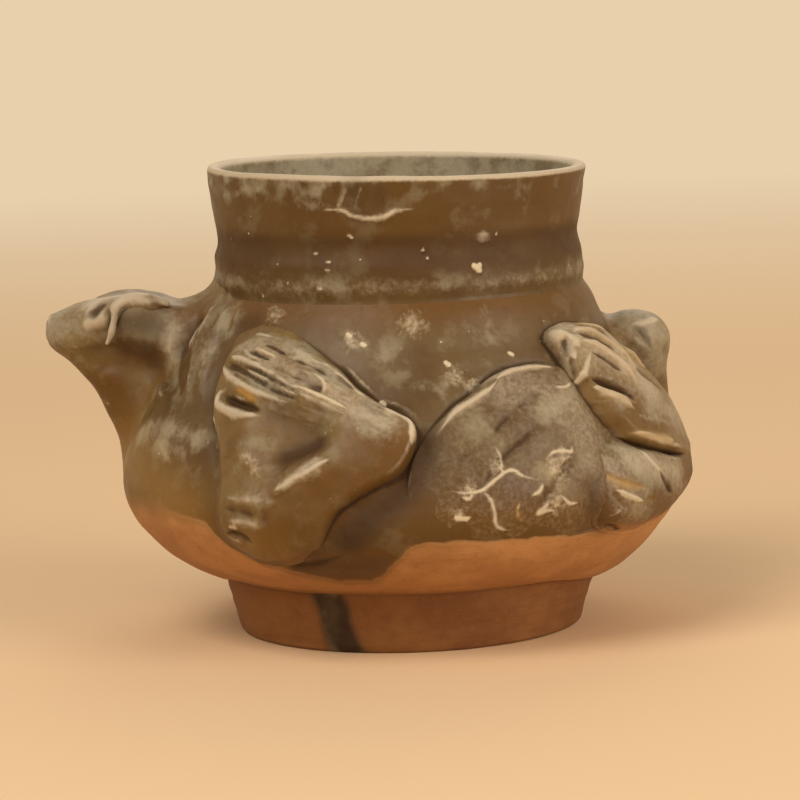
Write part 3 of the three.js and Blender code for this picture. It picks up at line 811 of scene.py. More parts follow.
def build_neck():
    lip = wall_radius(rim_height - LIP) + 0.15
    heights = np.arange(joint_height - 1.0, rim_height - 0.7, 0.33)
    outside = np.stack([wall_radius(heights), heights], 1)
    outside[0, 0] -= 0.6
    outside[1, 0] -= 0.2
    inner = np.interp(heights, [joint_height, joint_height + 6, rim_height - LIP], [0, 0, LIP - WALL])
    inside = np.stack([outside[:, 0] - WALL - inner, heights], 1)[:-2][::-3]
    profile = np.vstack([
        outside[2:],
        arc((lip - 0.6, rim_height - 0.6), 0.6, 0, 90),
        arc((lip - LIP + 1.2, rim_height - 1.3), 1.2, 90, 180, 9),
        inside, outside[:1], outside[1:2],
    ])
    points = turned_rings(profile, ROUND).reshape(-1, 3)
    here = np.arange(len(points)).reshape(-1, ROUND)
    after, next_ring = np.roll(here, -1, axis=1), np.roll(here, -1, axis=0)
    quads = np.stack([here, after, np.roll(after, -1, axis=0), next_ring], -1).reshape(-1, 4)
    clay = Clay(points, vertex_normals(points, quads))
    above = points[:, 2] - joint_height
    top = points[:, 2] - rim_height
    outer = ease((np.hypot(points[:, 0], points[:, 1]) - wall_radius(points[:, 2]) + 1.5) / 1.2)
    outer *= ease((above + 0.4) / 2.6)
    # Thrown hollows and ridges round it: the height above the joint, how wide, and how far they move
    for middle, width, out in ((9, 1.9, -0.25), (5.8, 0.9, 0.12), (3.4, 0.9, -0.12)):
        clay.height += out * outer * np.exp(-((above - middle) / width) ** 2)
    clay.height += 0.1 * outer * noise(points * [0.15, 0.15, 1], 1.7)
    clay.give = outer
    clay.fingers(14, 0.18)
    clay.fingers(3, 0.07, 2.1)
    wide, fine = noise(points * [1, 1, 1.6], 6, 6.3), noise(points * [1, 1, 1.8], 2.2, 1.1)
    west = ease((-angles_of(points) + 5) / 30) * ease((95 + angles_of(points)) / 30)
    # Inside, near the rim, the glaze is paler and grey-green: a painted reflection of the light on the inner
    # wall
    inner_reflection = (1 - outer) * ease((top + 12) / 8)
    pale = ease((top + 6.5 + 4 * wide) / 6) * (0.3 + 0.45 * west + 0.5 * fine)
    tints = clay.tints
    tints["worn"] = 0.95 * np.exp(-((top + 0.15) / 0.4) ** 2) + 0.2 * inner_reflection
    # A paler band just above the joint: glaze rubbed on the thrown step, and painted light where the step
    # faces up
    tints["worn"] += 0.24 * outer * np.exp(-((above - 2.2) / 2) ** 2) * (1 + 0.5 * fine)
    tints["worn"] += 0.16 * outer * west * ease((top + 7 + 3 * wide) / 4) * (1 + fine)
    # A dark band round the neck's thrown waist: glaze gathered there, and painted shade of the waist
    tints["pooled"] = outer * 0.62 * np.exp(-((above - 7.6) / 3.3) ** 4) * np.clip(1 + 0.6 * wide, 0, 1)
    tints["ash"] = np.clip(outer * pale, 0, 1) + 1.2 * inner_reflection
    # Greyer ash in the same band, also painted light on the step that faces up
    tints["ash"] += 0.3 * outer * np.exp(-((above - 2.6) / 2.2) ** 2)
    lean = ease((above - 3.4) / 2.6) * (1.1 - 0.8 * pale + 0.3 * wide)
    tints["lean"] = np.clip(0.45 * outer * lean, 0, 1)
    work(clay, NECK_MARKS)
    places = clay.moved()
    tilt = np.maximum(0, above / (rim_height - joint_height))
    places[:, 2] -= tilt * RIM_RISE * places[:, 0] / lip
    places[:, 0] -= 0.35 * np.sin(np.pi * np.clip(tilt, 0, 1))
    gather("neck", places, quads, NO_TRIANGLES, tints, "neck_glaze")


# Pads pressed on the wall. Each has an outline of places with the width of its edge in mm, crisp
# where that is narrow and melting into the wall where it is wide, a middle, a form, which is stops
# of place and height over which its clay is spread, and its marks.


def spread(angle, height, stops):
    """Heights all over a sheet that is bent to pass through the stops."""
    stops = np.array(stops, float)
    scale = np.array([0.76, 0.5])
    pins = stops[:, :2] * scale

    def pull(places):
        gap = np.linalg.norm(places[:, None] - pins, axis=-1)
        return np.hstack([gap ** 2 * np.log(gap + 1e-6), np.ones((len(places), 1)), places])

    count = len(stops)
    system = np.zeros((count + 3, count + 3))
    system[:count] = pull(pins)
    system[count:, :count] = system[:count, count:].T
    weights = np.linalg.solve(system, np.append(stops[:, 2], [0, 0, 0]))
    return pull(np.stack([angle, height], 1) * scale) @ weights


def build_pad(name, slot, middle, outline, form, marks, rings=90, around=440):
    """Builds a pad on the left and its mirror image on the right, and gives back the places of both
    outlines with the width of their edges."""
    loop = curve(listed(outline), 24, closed=True)
    steps = np.linspace(0, len(loop) - 1, around + 1)
    loop = np.stack([np.interp(steps, np.arange(len(loop)), values) for values in loop.T], 1)
    shares = np.concatenate([[0.3, 0.7, 0.96, 1.0], 1 - np.linspace(0, 0.985, rings) ** 1.5])
    centre = np.array(middle, float)
    flat = centre + shares[:, None, None] * (loop[None, :-1, :2] - centre)
    points, quads, triangles = skin(on_wall(flat[..., 0], flat[..., 1]))
    normals = wall_normal(flat[..., 0], flat[..., 1]).reshape(-1, 3)
    clay = Clay(points, np.vstack([normals, normals[0], normals[-1]]))
    edge = on_wall(loop[:, 0], loop[:, 1])
    gap, share = distance(points, edge)
    width = np.interp(share * around, np.arange(around + 1), loop[:, 2])
    rise = np.clip(gap / width, 0, 1)
    soft = ease((width - 1.6) / 1.6)
    angle, height = (np.append(v.ravel(), [v[0].mean(), v[-1].mean()]) for v in np.moveaxis(flat, -1, 0))
    thickness = np.maximum(spread(angle, height, listed(form)) + breast(angle, height), 0.1)
    clay.height = thickness * ((1 - soft) * np.sqrt(1 - (1 - rise) ** 2) + soft * ease(rise))
    clay.tints["pooled"] = 0.35 * (1 - soft) * np.exp(-(gap / 0.5) ** 2)
    clay.give = ease(gap / 0.5)
    # Its first rings lie under the wall
    hidden = np.r_[0:4 * around, len(points) - 2]
    clay.height[hidden] = -LUTE_DEPTH
    clay.height[3 * around:4 * around] = -0.4 * LUTE_DEPTH
    clay.give[hidden] = 0
    work(clay, marks)
    gather(name + "_left", clay.moved(), quads, triangles, clay.tints, slot)
    gather_mirrored(name + "_right", slot)
    placed = np.column_stack([edge, loop[:, 2]])
    return [placed, placed * [1, -1, 1, 1]]


# The bent foreleg: upper arm from the shoulder to a sharp elbow, forearm down to the paw
FORELEG_OUTLINE = """
-54 86 5, -47 91 4, -40 92.5 3.4, -33 91 2.8, -27 87.5 2.2, -21 83 1.7, -15.8 78.4 1.1, -10.3 71.8 0.9,
-4.4 66.4 0.9, 0.4 62.8 0.9, 2.2 60 0.9, 2.2 56.5 1, 0.8 51 1.1, -2.1 45.7 1.2, -7.9 41 1.3,
-13.3 35.5 1.5, -16 29 1.8, -18.4 22.5 2.6, -24 16.5 4, -32 14.8 5, -39 19 5.5, -42.5 28 5, -43 42 4.5,
-45 53 3.4, -49 62 3, -52.5 73 4
"""
FORELEG_FORM = """
-50 84 1.4, -44 86 1.9, -36 88 1.9, -28 84 2.1, -46 79 3, -38 78 3.7, -30 76 4.1, -22 74.5 4, -21 79 2.9,
-15 73 3.4, -9 66.5 3.6, -3 62 3.6, 0 58.5 3.3, -44 68 3.3, -38 64 3.8, -30 65 3.3, -22 64 3.1,
-14 62 3.6, -7 56.5 3.7, -24 53 1.7, -20.6 55.6 2, -28 51.6 2.3, -34 53 3.5, -40 54 2.8, -17.5 56.5 2.4,
-26 42.5 3.4, -22 45.8 3.7, -17.6 50 3.8, -12 52 3.4, -30 46 2.9, -18 41 3, -12 44.5 3, -5 50 3,
-0.8 54 3, -35 42 3, -40 42 2.2, -33 36 3.4, -27 36.5 3.4, -21 35 3, -34 29.5 2.9, -27 28.5 3.1,
-21 28 2.6, -34 22 2.3, -27 20.5 2.3
"""
# The brown laid along the forearm's lower slab is thin glaze near its edge and painted shade where the slab
# faces down
FORELEG_MARKS = """
press 1.9 -0.7 pooled=0.95 lean=0.8: -24.4 50.6, -21.6 52.4, -18.4 54.4
press 2.8 -0.3 pooled=0.4 ash=0.3: -28 64, -24 61.6, -20 59
press 4.4 lean=1: -22 33, -15 41, -7 47, -1 52
press 3.6 lean=0.8: -26 26, -22 37
press 4 rust=0.25: -31 25, -26 22
streaks 4.4 1 0.22 0.6: -46 84, -38 82, -30 79.5, -22 76, -14 70.5, -6 64.5, 0 60
streaks 2.4 0.9 0.12 0.3 5: -36 87, -28 84, -20 79, -12 72.5
streaks 2.6 0.9 0.12 0.4 2: -44 71, -34 68, -25 65, -14 61
streaks 2.4 0.8 0.14 0.25 4: -30 38, -25.5 42, -21 47, -15 53
mark 1.3 0.5 worn=0.75: -26.3 40.4, -23.8 42, -21.5 44.2, -19.3 46.5, -17 48.7, -14.7 50
mark 1.4 -0.75 pooled=0.15 ash=1: -46 77.4, -42.1 75.6, -37.7 73.8, -33.1 71.6, -29 69.6, -24.7 67.6
mark 0.4 -0.5 pooled=0.5: -40.4 77, -36 75.4, -32.1 73.7, -28 71.6, -24 69.2
mark 0.35 0.6 worn=0.9: -39 75.6, -35.4 74, -31.6 72.4
streaks 1.6 0.6 0.3 0.45 6: -47 77.5, -38 74.4, -30 71, -22 67.5
mark 0.55 0.35 worn=0.85: -46.2 79.8, -41.6 78.8, -37.2 77.4, -33 75.6
mark 0.6 0.5 worn=1 lime=0.15: -47.2 76.4, -44.4 73.9, -39.6 71.3, -34.8 69.1, -30.2 67.5, -25 65.8
mark 0.6 0.15 rust=1: -39.8 69.4, -36.4 68, -32.8 65.6
mark 0.75 -1.4 pooled=1: -42.6 66.6, -39.2 65.5, -35.6 64.5, -32.3 63.5
mark 0.75 0.45 worn=1.3 lime=0.2: -43 69.2, -44.9 67.2, -44.6 64.6, -41 62.9, -36.6 61.8, -31.6 61.9
press 0.7 0.4 lime=0.9: -46 60.4
mark 0.35 -0.5 pooled=0.6: -40.6 81.8, -36.4 80.2, -32.7 78.9
: -37.4 84.6, -33.4 83.2, -29.4 81.2
mark 0.4 0.5 worn=1.1 lime=0.4 rust=0.25: -39.4 83.1, -35.3 81.6, -31.4 80
mark 0.35 0.4 worn=0.9: -43.6 82.8, -40 80.6, -35 78.5
mark 0.4 0.35 worn=0.8: -44.5 89, -40 88.4, -35.5 87.4
mark 0.4 -0.45 pooled=0.4: -27.2 80, -23.9 78.4, -20.5 76.6, -17.4 74.4
mark 0.4 -0.45 pooled=0.5: -15.6 75, -13.4 72.8, -11.2 70.6
mark 0.45 -0.4 pooled=0.4 rust=0.2: -33 77.4, -28.5 75.4, -24.5 73.2
press 1.1 -0.5 ash=0.9 pooled=0.35: -24 73.8, -21.4 72.2, -19.4 70.6
mark 0.4 0.4 worn=0.9 lime=0.3: -20.6 75, -18.3 72.8, -17.6 70.6, -18 68.6
mark 0.34 0.5 worn=1.1 lime=0.7: -24.4 71.1, -20.9 69.5, -17.4 67.7, -14.5 65.9, -11.7 64
mark 0.6 0.3 worn=0.6: -24 69, -18 66.2, -12 62.4
mark 0.6 0.3 worn=1 lime=0.5: -0.4 64, 1 61.4, 1.5 58, 1.1 54
press 2.2 ash=1.2 worn=0.2: -30 86, -22 80.5, -14 73.5, -7 67
press 3.2 worn=0.52 ash=0.6: -34 78, -24 73.5, -14 67, -4 60.5
press 3.6 worn=0.5 ash=0.3: -42 84, -33 81
press 1.2 0.1 lime=0.3 rust=0.1: -33.2 49.8, -31.5 48.1, -30.5 46
mark 1 0.4 worn=0.35 ash=0.5: -36.8 37.8, -30.8 37.6, -25 36.8
mark 0.85 -0.6 pooled=0.45 ash=0.4: -36.4 34.6, -32.6 34.2, -29 33.2
press 0.9 -0.35 pooled=0.35: -27.6 32.8
mark 0.9 0.4 worn=0.3 ash=0.4: -36 31.8, -31 31.6, -27 30.6
mark 0.7 -0.9 pooled=0.7 ash=0.5: -37 27.8, -34.4 28.2, -32.6 27.2, -31 25.6
mark 0.6 0.3 worn=0.4: -35.8 30.2, -33 30.2
fingers 7 0.3
fingers 2.6 0.18 5.1
"""

# A thin oval pad for the thigh, outlined with a scored groove and strewn with branches of white
# deposit. The dark press at its front edge is painted shadow of the forearm, and the dark dent next
# to the paw's edge is painted shadow beside the paw.
HAUNCH_OUTLINE = """
3.4 56 2.6, 5.4 59.8 1.3, 10.4 65.8 0.9, 14.7 69.2 0.9, 21.2 74.6 0.9, 28.7 77.2 0.9, 39.2 76.8 1.2,
46 70 3, 50 50 7, 46 25 7, 24 22.5 8, 7 25 9, 0.5 38 9, 1 49 7
"""
HAUNCH_FORM = """
6 50 0.9, 10 62 1, 20 71 1.15, 32 74 1.2, 42 70 1.3, 40 50 1.5, 38 34 1.1, 24 30 0.8, 12 34 0.7,
16 52 1.2, 26 60 1.3, 28 45 1.2, 34 56 1.6
"""
HAUNCH_MARKS = """
mark 0.6 0.4 worn=0.6: 6.5 57.5, 10.8 63.8, 14.7 66.7, 17.4 68.6, 20.1 70.4, 23 73.4
mark 0.5 0.4 worn=0.8: 22.4 73.4, 26 75.2, 30 75.7, 34 75.9, 39 75.2
mark 0.85 -0.4 pooled=0.3: 25 63.4, 29.1 65.8, 33.2 68.1
mark 0.75 -0.4 pooled=0.4: 18.6 56.6, 21.2 59.7, 24.2 62.3
mark 0.8 -0.5 pooled=0.45: 14.6 41, 18.3 47.1, 21.8 51.3, 25 54, 28.4 57.2
mark 0.9 -0.5 pooled=0.45: 26.6 34.4, 29.2 38.2, 32 42.6, 36 46.4
mark 0.8 -0.3 pooled=0.25: 9.5 48, 13 51
press 1.9 -0.15 ash=0.5: 11.5 54, 13.9 57.5, 16.6 60.2
press 2.4 ash=0.6: 32.2 59.8, 37 62.9, 42.6 64.5
press 1.7 ash=0.4 rust=0.12: 28 46, 30 42, 31 39
mark 0.27 0.1 worn=0.9 lime=0.38: 8.6 40.6, 11 39.6, 14.4 40, 17 42.4, 19.5 44.8, 21.4 45.2, \
23.4 43.2, 26.4 41.6
: 14.4 40, 16 37.4, 16.8 33.4, 17 29.6, 18.4 27.4, 20.4 26.6
: 18.4 52.6, 19.4 49.4, 19 46.2, 19.4 44.6
: 29 47.6, 31 49.2, 33.4 49.2, 35.4 48.8, 35.8 50.8
: 28.6 35.4, 27.6 33.4, 25.8 31.2, 27.8 32, 30.4 31.4
: 12.8 40.2, 12 37.8, 10.4 38.4
: 31 36.4, 33 33.4, 35 33.2
: 24.6 37, 26.4 38.2, 27.4 40.4
rub 0.2
press 6 worn=0.42: 24 70, 32 68, 40 62, 42 54
press 3.2 pooled=0.85: 4.5 56, 2 46, -2.4 38.6
mark 0.4 0.25 worn=1: 42.6 69.6, 40 68.4, 36.6 69
press 2 -0.5 pooled=0.5: 39.6 38, 39.2 32, 39.6 24
press 4.5 worn=0.4: 37 60, 39 52, 39.5 44
press 3.4 lean=0.8: 8 29, 20 26, 34 27
press 1.6 lime=0.36: 12 41
: 33 48
press 1.4 lime=0.36: 18 47
press 2.6 lime=0.36: 31 44
press 2.2 lime=0.36: 30 34
press 1.5 lime=0.36: 10 32.5
mark 0.45 0.1 rust=0.5 lime=0.3: 22.2 36, 21.4 32.6, 22.6 29
mark 0.5 0.06 lime=0.65: 8.6 32.6, 10.4 31.6, 12.4 32
fingers 6 0.24 2.2
fingers 2.2 0.12 5.1
"""

# The drawn-up hind leg in two pads: a shank in folds, and the paw that it stands on
SHANK_OUTLINE = """
42.4 86.8 1.8, 46.6 88.4 2.6, 53 88.9 2.6, 61 86 2, 68 79.5 1.6, 74 71.5 1.8, 79.5 63.5 2, 83.5 55 2,
86 46 2, 85 38 2, 78 36.5 1.8, 69 41 1.1, 61.5 43.8 0.9, 56 47.3 1.2, 51 51.4 2.8, 47 54.6 4.4,
44.6 60 5, 43.2 66 4.4, 42.4 71 2.2, 42.6 78 1.3, 41.2 83.6 1.3
"""
SHANK_FORM = """
44 85 2.3, 50 86 2.6, 58 83 3, 66 77 2.7, 73 69 2.8, 79 60 3, 82 50 2.8, 46 78 2.6, 54 77 3.4, 61 71 3.6,
69 62 3.4, 76 52 3.2, 45 70 2.6, 52 69 3.2, 48 61 2.6, 56 60 3.3, 62 54 3.4, 53 54 2.8, 70 47 3.3,
78 42 2.8
"""
SHANK_MARKS = """
mark 0.9 0.5 worn=1.5 lime=0.25: 41.8 85.2, 44.4 83.8, 46.8 81.2, 48 78
mark 0.8 -0.5 pooled=0.5 ash=0.7: 45 83, 44.3 80, 44 76.8
mark 0.7 0.35 worn=1: 46 82, 45.4 78.4, 45.2 75.2
mark 0.45 -0.4 pooled=0.8: 44.4 77, 44 73.4, 43.9 70.6
mark 0.5 0.35 worn=1.2: 43 69, 44.8 69.8, 47.5 72.9, 51.4 77.4
mark 0.8 0.5 worn=0.95 rust=0.45: 51.1 88, 58.4 86, 65.2 81.8, 69.8 76.5, 72 70
mark 0.5 -0.4 pooled=0.15: 50 86.6, 57 84.6, 63 80
mark 0.9 0.65 worn=1.05 rust=0.35: 48.6 85.4, 54.6 82.9, 59.1 78.9, 62.9 73.7, 65 67.5
mark 0.5 -0.4 pooled=0.15: 50 83, 55.6 79.8, 60 75.4
mark 0.95 0.7 worn=1.1 rust=0.2: 49 81.1, 54.2 77.7, 57.9 73.2, 60.3 67.8, 62 62.4
mark 0.5 -0.4 pooled=0.3: 51.4 76.4, 55 72.8, 58 68.6
mark 0.75 -1.3 pooled=0.9: 47.8 69, 51.2 66.2, 54.6 63.6, 57.8 59.8
mark 0.8 0.6 worn=1 rust=0.25: 47.2 66.6, 50.4 63.6, 53.6 60.2, 56.8 56.8
mark 0.7 0.45 worn=0.8 rust=0.5: 66.5 76, 70 72, 73.6 67
mark 0.6 -0.9 pooled=0.8: 65.4 69, 69.6 65, 73.8 60
press 5.5 worn=0.66: 48 84, 56 77, 62 70, 66 62
press 2.2 -0.1 lean=0.7 ash=0.4: 44.6 62.4, 47.6 59
mark 1 -0.5 pooled=0.6: 45.4 64, 45.4 60.4, 46.8 56.8, 50.4 53.8
press 2.4 lean=0.6: 48 58, 54 54, 62 50
press 4.5 worn=0.45 ash=0.4: 64 58, 70 53, 76 50, 80 52
press 1.2 ash=0.8: 50.3 61.9, 52.6 59.1
streaks 4.2 0.9 0.22 0.7: 45 86, 53 83.6, 61 77, 67 68
streaks 3 0.9 0.12 0.35 3: 46 64, 54 59, 62 54, 72 49
mark 0.7 0.25 rust=0.5 worn=0.6: 53 51, 57.5 48.6, 62.5 46.2, 66 44.8
fingers 5 0.28 1.7
fingers 2 0.14 5.1
"""
PAW_OUTLINE = """
38.5 54 9, 37 46 9, 39 38.6 6, 39.6 30 5, 40.4 24 5, 46 20 4.5, 56 18 5, 67 20 5, 77 27 3, 84.5 36 2.4,
86 42 2, 79 42.5 1.5, 70 41 1.2, 62 44 1.6, 54 50 3.5, 48 54 5
"""
PAW_FORM = """
40 48 1.6, 45 46 1.9, 50 46 2.1, 44 37 2, 44 29 2, 47 22 1.8, 58 21 2, 55 33 2.6, 56 41 2.4, 64 37 2.5,
72 36 2.5, 80 39 2.4, 68 27 2.3, 76 33 2.5, 52 40 2.4
"""
# The dark dent down the paw's edge next to the haunch is painted shadow beside the paw
PAW_MARKS = """
press 1.7 -0.4 pooled=0.45: 40.6 36, 40.4 31, 40.8 25
press 4.5 worn=0.42: 42 44, 45 40, 50 30
press 3.8 worn=0.5 ash=0.9: 49 43, 55 41, 60 38, 66 36
mark 0.7 0.45 worn=0.9: 53.7 45.8, 55.7 41, 58.6 36.4, 62 31
mark 0.55 -0.8 pooled=0.9: 57.2 38, 60.2 33.6, 62.4 30.6
mark 0.8 -0.3 rust=0.65 worn=0.6: 42.8 41.4, 44 38.8, 47.2 36.2, 52 34
mark 0.5 0.4 worn=1.1 lime=0.3: 44.4 35, 47.4 32.7, 51.4 30.6
mark 0.6 -0.4 ash=0.7: 43.6 35, 44.8 31.6, 48 28.6
mark 0.4 -0.4 rust=0.5 pooled=0.4: 52.5 31.5, 54.6 30.3
mark 0.65 -1 pooled=1.1: 43.2 24.2, 45.8 22.6, 49 20.6
press 3.2 lean=1: 46 19, 60 19, 70 24
fingers 5 0.25 4.4
fingers 2 0.12 5.1
"""


# Clay built up in the round: its inside is where a field is below zero


def join(first, second, soft):
    """Two forms luted together, with their joint smoothed over so many mm."""
    near = np.clip(1 - np.abs(first - second) / soft, 0, None)
    return np.minimum(first, second) - near * near * soft / 4


def ball(places, middle, size):
    """An egg of clay, with half its length, width and height."""
    size = np.array(size, float)
    scaled = np.linalg.norm((places - middle) / size, axis=-1)
    return (scaled - 1) * size.min()


def roll(places, line, thickness):
    """A roll of clay along a line of places, with its radius at each of them."""
    line = np.array(line, float)
    gap, share = distance(places, line)
    return gap - np.interp(share * (len(line) - 1), np.linspace(0, len(line) - 1, len(thickness)), thickness)


def build_round(low, high, voxel, field, lute=0.0, reach=0.0):
    """The clay of a form with its quads. With a lute it grows out of the wall, with that much fillet
    round it, and ends so far from the form itself, under the wall."""
    axes = [np.arange(a, b, voxel) for a, b in zip(low, high)]
    places = np.stack(np.meshgrid(*axes, indexing="ij"), -1).reshape(-1, 3)
    form = field(places)
    if lute:
        wall = np.hypot(places[:, 0], places[:, 1]) - wall_radius(places[:, 2])
        wall = 0.8 * (wall - breast(angles_of(places), percent(places[:, 2])))
        whole = join(form, wall + 0.3, lute)
        form = np.maximum(np.maximum(whole, -wall - 0.5 * WALL), form - reach)
    grid = openvdb.FloatGrid(3.0)
    solid = np.pad(form.reshape([len(a) for a in axes]), 1, constant_values=3.0)
    grid.copyFromArray(solid.astype(np.float32))
    points, quads = grid.convertToQuads(isovalue=0.0)
    points = (np.array(points, float) - 1) * voxel + np.array(low, float)
    quads = np.array(quads, int)
    if face_normals(points, quads)[1] < 0:
        quads = quads[:, ::-1]
    return Clay(points, vertex_normals(points, quads)), quads


def gather_round(name, clay, quads):
    gather(name, clay.moved(), quads, NO_TRIANGLES, clay.tints, "limb_glaze")


# Sections along the head, each with its reach, the top and the bottom of the skull, the skull's half
# width, the throat's bottom and the throat's half width
HEAD = listed("""
27 60.5 44 9.8 30 8, 33 58.4 44.5 9.5 30.5 7.4, 38 57.3 45.5 9 31.5 6.6, 42 57.6 46.5 8.6 32 5.8,
46 58.4 47.8 8.1 32 5, 49.5 58.2 48.8 7.2 34.5 4.2, 53 57.6 49.2 6.2 42 3.4, 56.5 56.8 49.4 5 46.6 2.8,
59 56 49.8 3.8 49.4 1.9, 60.2 55.3 50.5 3 50.6 1.4, 60.7 54.5 51.3 2.1 51.4 1, 60.9 53.6 52.2 1.1 52.2 0.6
""")


def head_form(places):
    line = curve(HEAD, 10)
    reach = -places[:, 0]
    top, low, wide, throat, slim = [np.interp(reach, line[:, 0], line[:, k]) for k in range(1, 6)]
    half = 0.5 * (top - low)
    skull = np.hypot(places[:, 1] / wide, (places[:, 2] - 0.5 * (top + low)) / half) - 1
    skull *= np.minimum(half, wide) * 0.85
    seam = np.minimum(low + 3, top - 0.8)
    keel_half = 0.5 * np.maximum(seam - throat, 0.4)
    keel = np.hypot(places[:, 1] / slim, (places[:, 2] - 0.5 * (seam + throat)) / keel_half) - 1
    keel *= np.minimum(keel_half, slim) * 0.75
    body = np.maximum(join(skull, keel, 3.0), reach - 61)
    for side in (-1, 1):
        body = join(body, ball(places, (-46.5, side * 5.6, 56.2), (6.2, 2.6, 2.4)), 2.5)
    return body


# Eye, brow, cheek and throat on the head's left side, as places in mm, and the rubbed top of the skull
# The pale bump under the eye is a painted highlight, the dark press along the jaw is painted shadow under
# it, and the brown down the throat is painted shade under the head
HEAD_MARKS = """
press 0.9 -0.8 pooled=1.1: -50.9 -6.6 57.8, -51.5 -7.1 57.2, -52.3 -7.2 56.2
press 1.2 0.4 worn=0.9: -53.4 -6.5 54.1, -52.1 -7.2 54.4, -50.8 -7.6 54.8
press 3.2 -1 pooled=0.6 ash=0.9: -47.2 -8.2 54.6, -42.4 -8.5 53.8
press 2.6 pooled=0.8: -48.5 -7.4 49, -43.5 -7.8 48.6
press 3.2 ash=1 worn=0.45: -39 -9 56, -38.6 -9.6 50
mark 1.2 0.3: -57.4 -3.6 50.8, -54.1 -5.4 50, -51.4 -6.4 50.8
press 4.2 worn=0.25 ash=1.1: -58 -2.5 53, -53 -5.5 53.5
press 1.8 -0.5 pooled=0.3: -52 -5.2 48.4, -47.5 -6.4 47.6
press 1.8 -0.6 pooled=0.4: -46.6 -8 50.4, -43.5 -8.2 49.6
mark 1.4 0.6 worn=0.4: -33.5 -11.5 57.4, -34.5 -12 53, -35.8 -12 48.6
mark 1.4 0.5 worn=0.2: -44 -7 46, -42.5 -7.6 42.5, -42 -7.6 39
press 4.2 lean=1: -50 -3.8 43, -47.5 -4.6 38, -46 -5 34
"""
SKULL_MARKS = """
press 6.4 ash=0.9 worn=0.35: -60.5 0 54, -56 0 56, -50 0 58, -44 0 58
press 4.8 worn=1: -51 -3 58.4, -43 -3 58.4
fingers 5 0.28 2.9
fingers 1.8 0.12 5.1
"""


def build_head():
    clay, quads = build_round((-62, -16.5, 23), (-26, 16.5, 66), 0.3, head_form, 4.5, 4.1)
    wall_marks(clay)
    work(clay, HEAD_MARKS, beside(-1))
    work(clay, HEAD_MARKS, beside(1))
    work(clay, SKULL_MARKS, beside(1))
    gather_round("head", clay, quads)


def ear_form(places):
    """A small flap of clay laid on the skull, thumbed hollow, with its rim up in front and on top."""
    leaf = ball(places, (-45, -6.6, 57.1), (4.3, 1.4, 1.6))
    rim = curve(listed("""
    -50.2 -7.4 51, -49.2 -8.2 53, -48.6 -8.5 55, -48 -8 57, -46 -7 58.3, -43.2 -6.4 58.4, -39.8 -6.4 57.2
    """), 3)
    whole = join(leaf, roll(places, rim, [0.3, 0.6, 0.75, 0.8, 0.7, 0.6, 0.22]), 1.6)
    cup = ball(places, (-44.2, -10.5, 54.7), (5.4, 2.7, 3.2))
    return -join(-whole, cup, 1.2)


EAR_MARKS = """
mark 1.2 worn=0.8 ash=0.8: -50.2 -7.8 51.4, -49 -8.9 53.6, -48.4 -9 56
mark 1.5 worn=1 ash=0.7: -50 -8 56.4, -48.6 -8.2 57.8, -46 -7.8 58.8, -41.5 -7.8 57.6
press 2.4 ash=0.9 pooled=0.5: -46.5 -8.4 55, -43 -8.4 54.6
fingers 3 0.2 3.3
fingers 1.3 0.08 5.1
"""


def build_ear():
    clay, quads = build_round((-52, -11.4, 48.5), (-38, -4.5, 60.2), 0.16, ear_form)
    work(clay, EAR_MARKS, beside(1))
    gather_round("ear_left", clay, quads)
    gather_mirrored("ear_right", "limb_glaze", 1.8)


def tail_form(places):
    """A bud of clay, drawn down to a point."""
    bud = ball(places, (39.4, 0, 47.9), (6.4, 5.2, 4.9))
    return join(bud, roll(places, [(40, 0, 46.5), (41.8, 0, 42), (43.6, 0, 37.4)], [4.8, 3.6, 2.0]), 3.0)


TAIL_MARKS = """
mark 1 0.4 worn=0.7: 38.6 -4.6 50.6, 41.4 -4.2 51.2, 44 -2.2 51.2
press 1.8 -0.3 pooled=0.3: 38 -5 46.5, 41 -4.8 46
press 1.1 -0.7 pooled=0.8: 45.8 -3.2 46, 46.6 -2 45.2
press 6 ash=0.9 worn=0.4: 40 -2 52, 43 -3 47
mark 0.7 -0.5 pooled=0.5: 37 4.4 53.2, 40.4 5.4 50, 42.4 5.2 46.4
: 37 -4.4 53.2, 40.4 -5.4 50, 42.4 -5.2 46.4
fingers 4 0.25 1.1
fingers 1.8 0.1 5.1
"""


def build_tail():
    clay, quads = build_round((28, -9, 30), (50, 9, 58), 0.28, tail_form, 2.6, 2.6)
    work(clay, TAIL_MARKS, beside(1))
    gather_round("tail", clay, quads)


build_foot()
build_neck()
build_belly(
    build_pad("foreleg", "limb_glaze", (-29, 54), FORELEG_OUTLINE, FORELEG_FORM, FORELEG_MARKS)
    + build_pad("haunch", "belly_glaze", (24, 48), HAUNCH_OUTLINE, HAUNCH_FORM, HAUNCH_MARKS)
    + build_pad("hind_leg", "limb_glaze", (60, 62), SHANK_OUTLINE, SHANK_FORM, SHANK_MARKS)
    + build_pad("hind_paw", "belly_glaze", (58, 34), PAW_OUTLINE, PAW_FORM, PAW_MARKS)
)
build_head()
build_ear()
build_tail()
fire()

# Floor, light and camera


# The floor is a disc, with its radius and where it begins and ends to fade in metres
DISC = 1.2
FADE_START = 0.3
FADE_END = 1.1


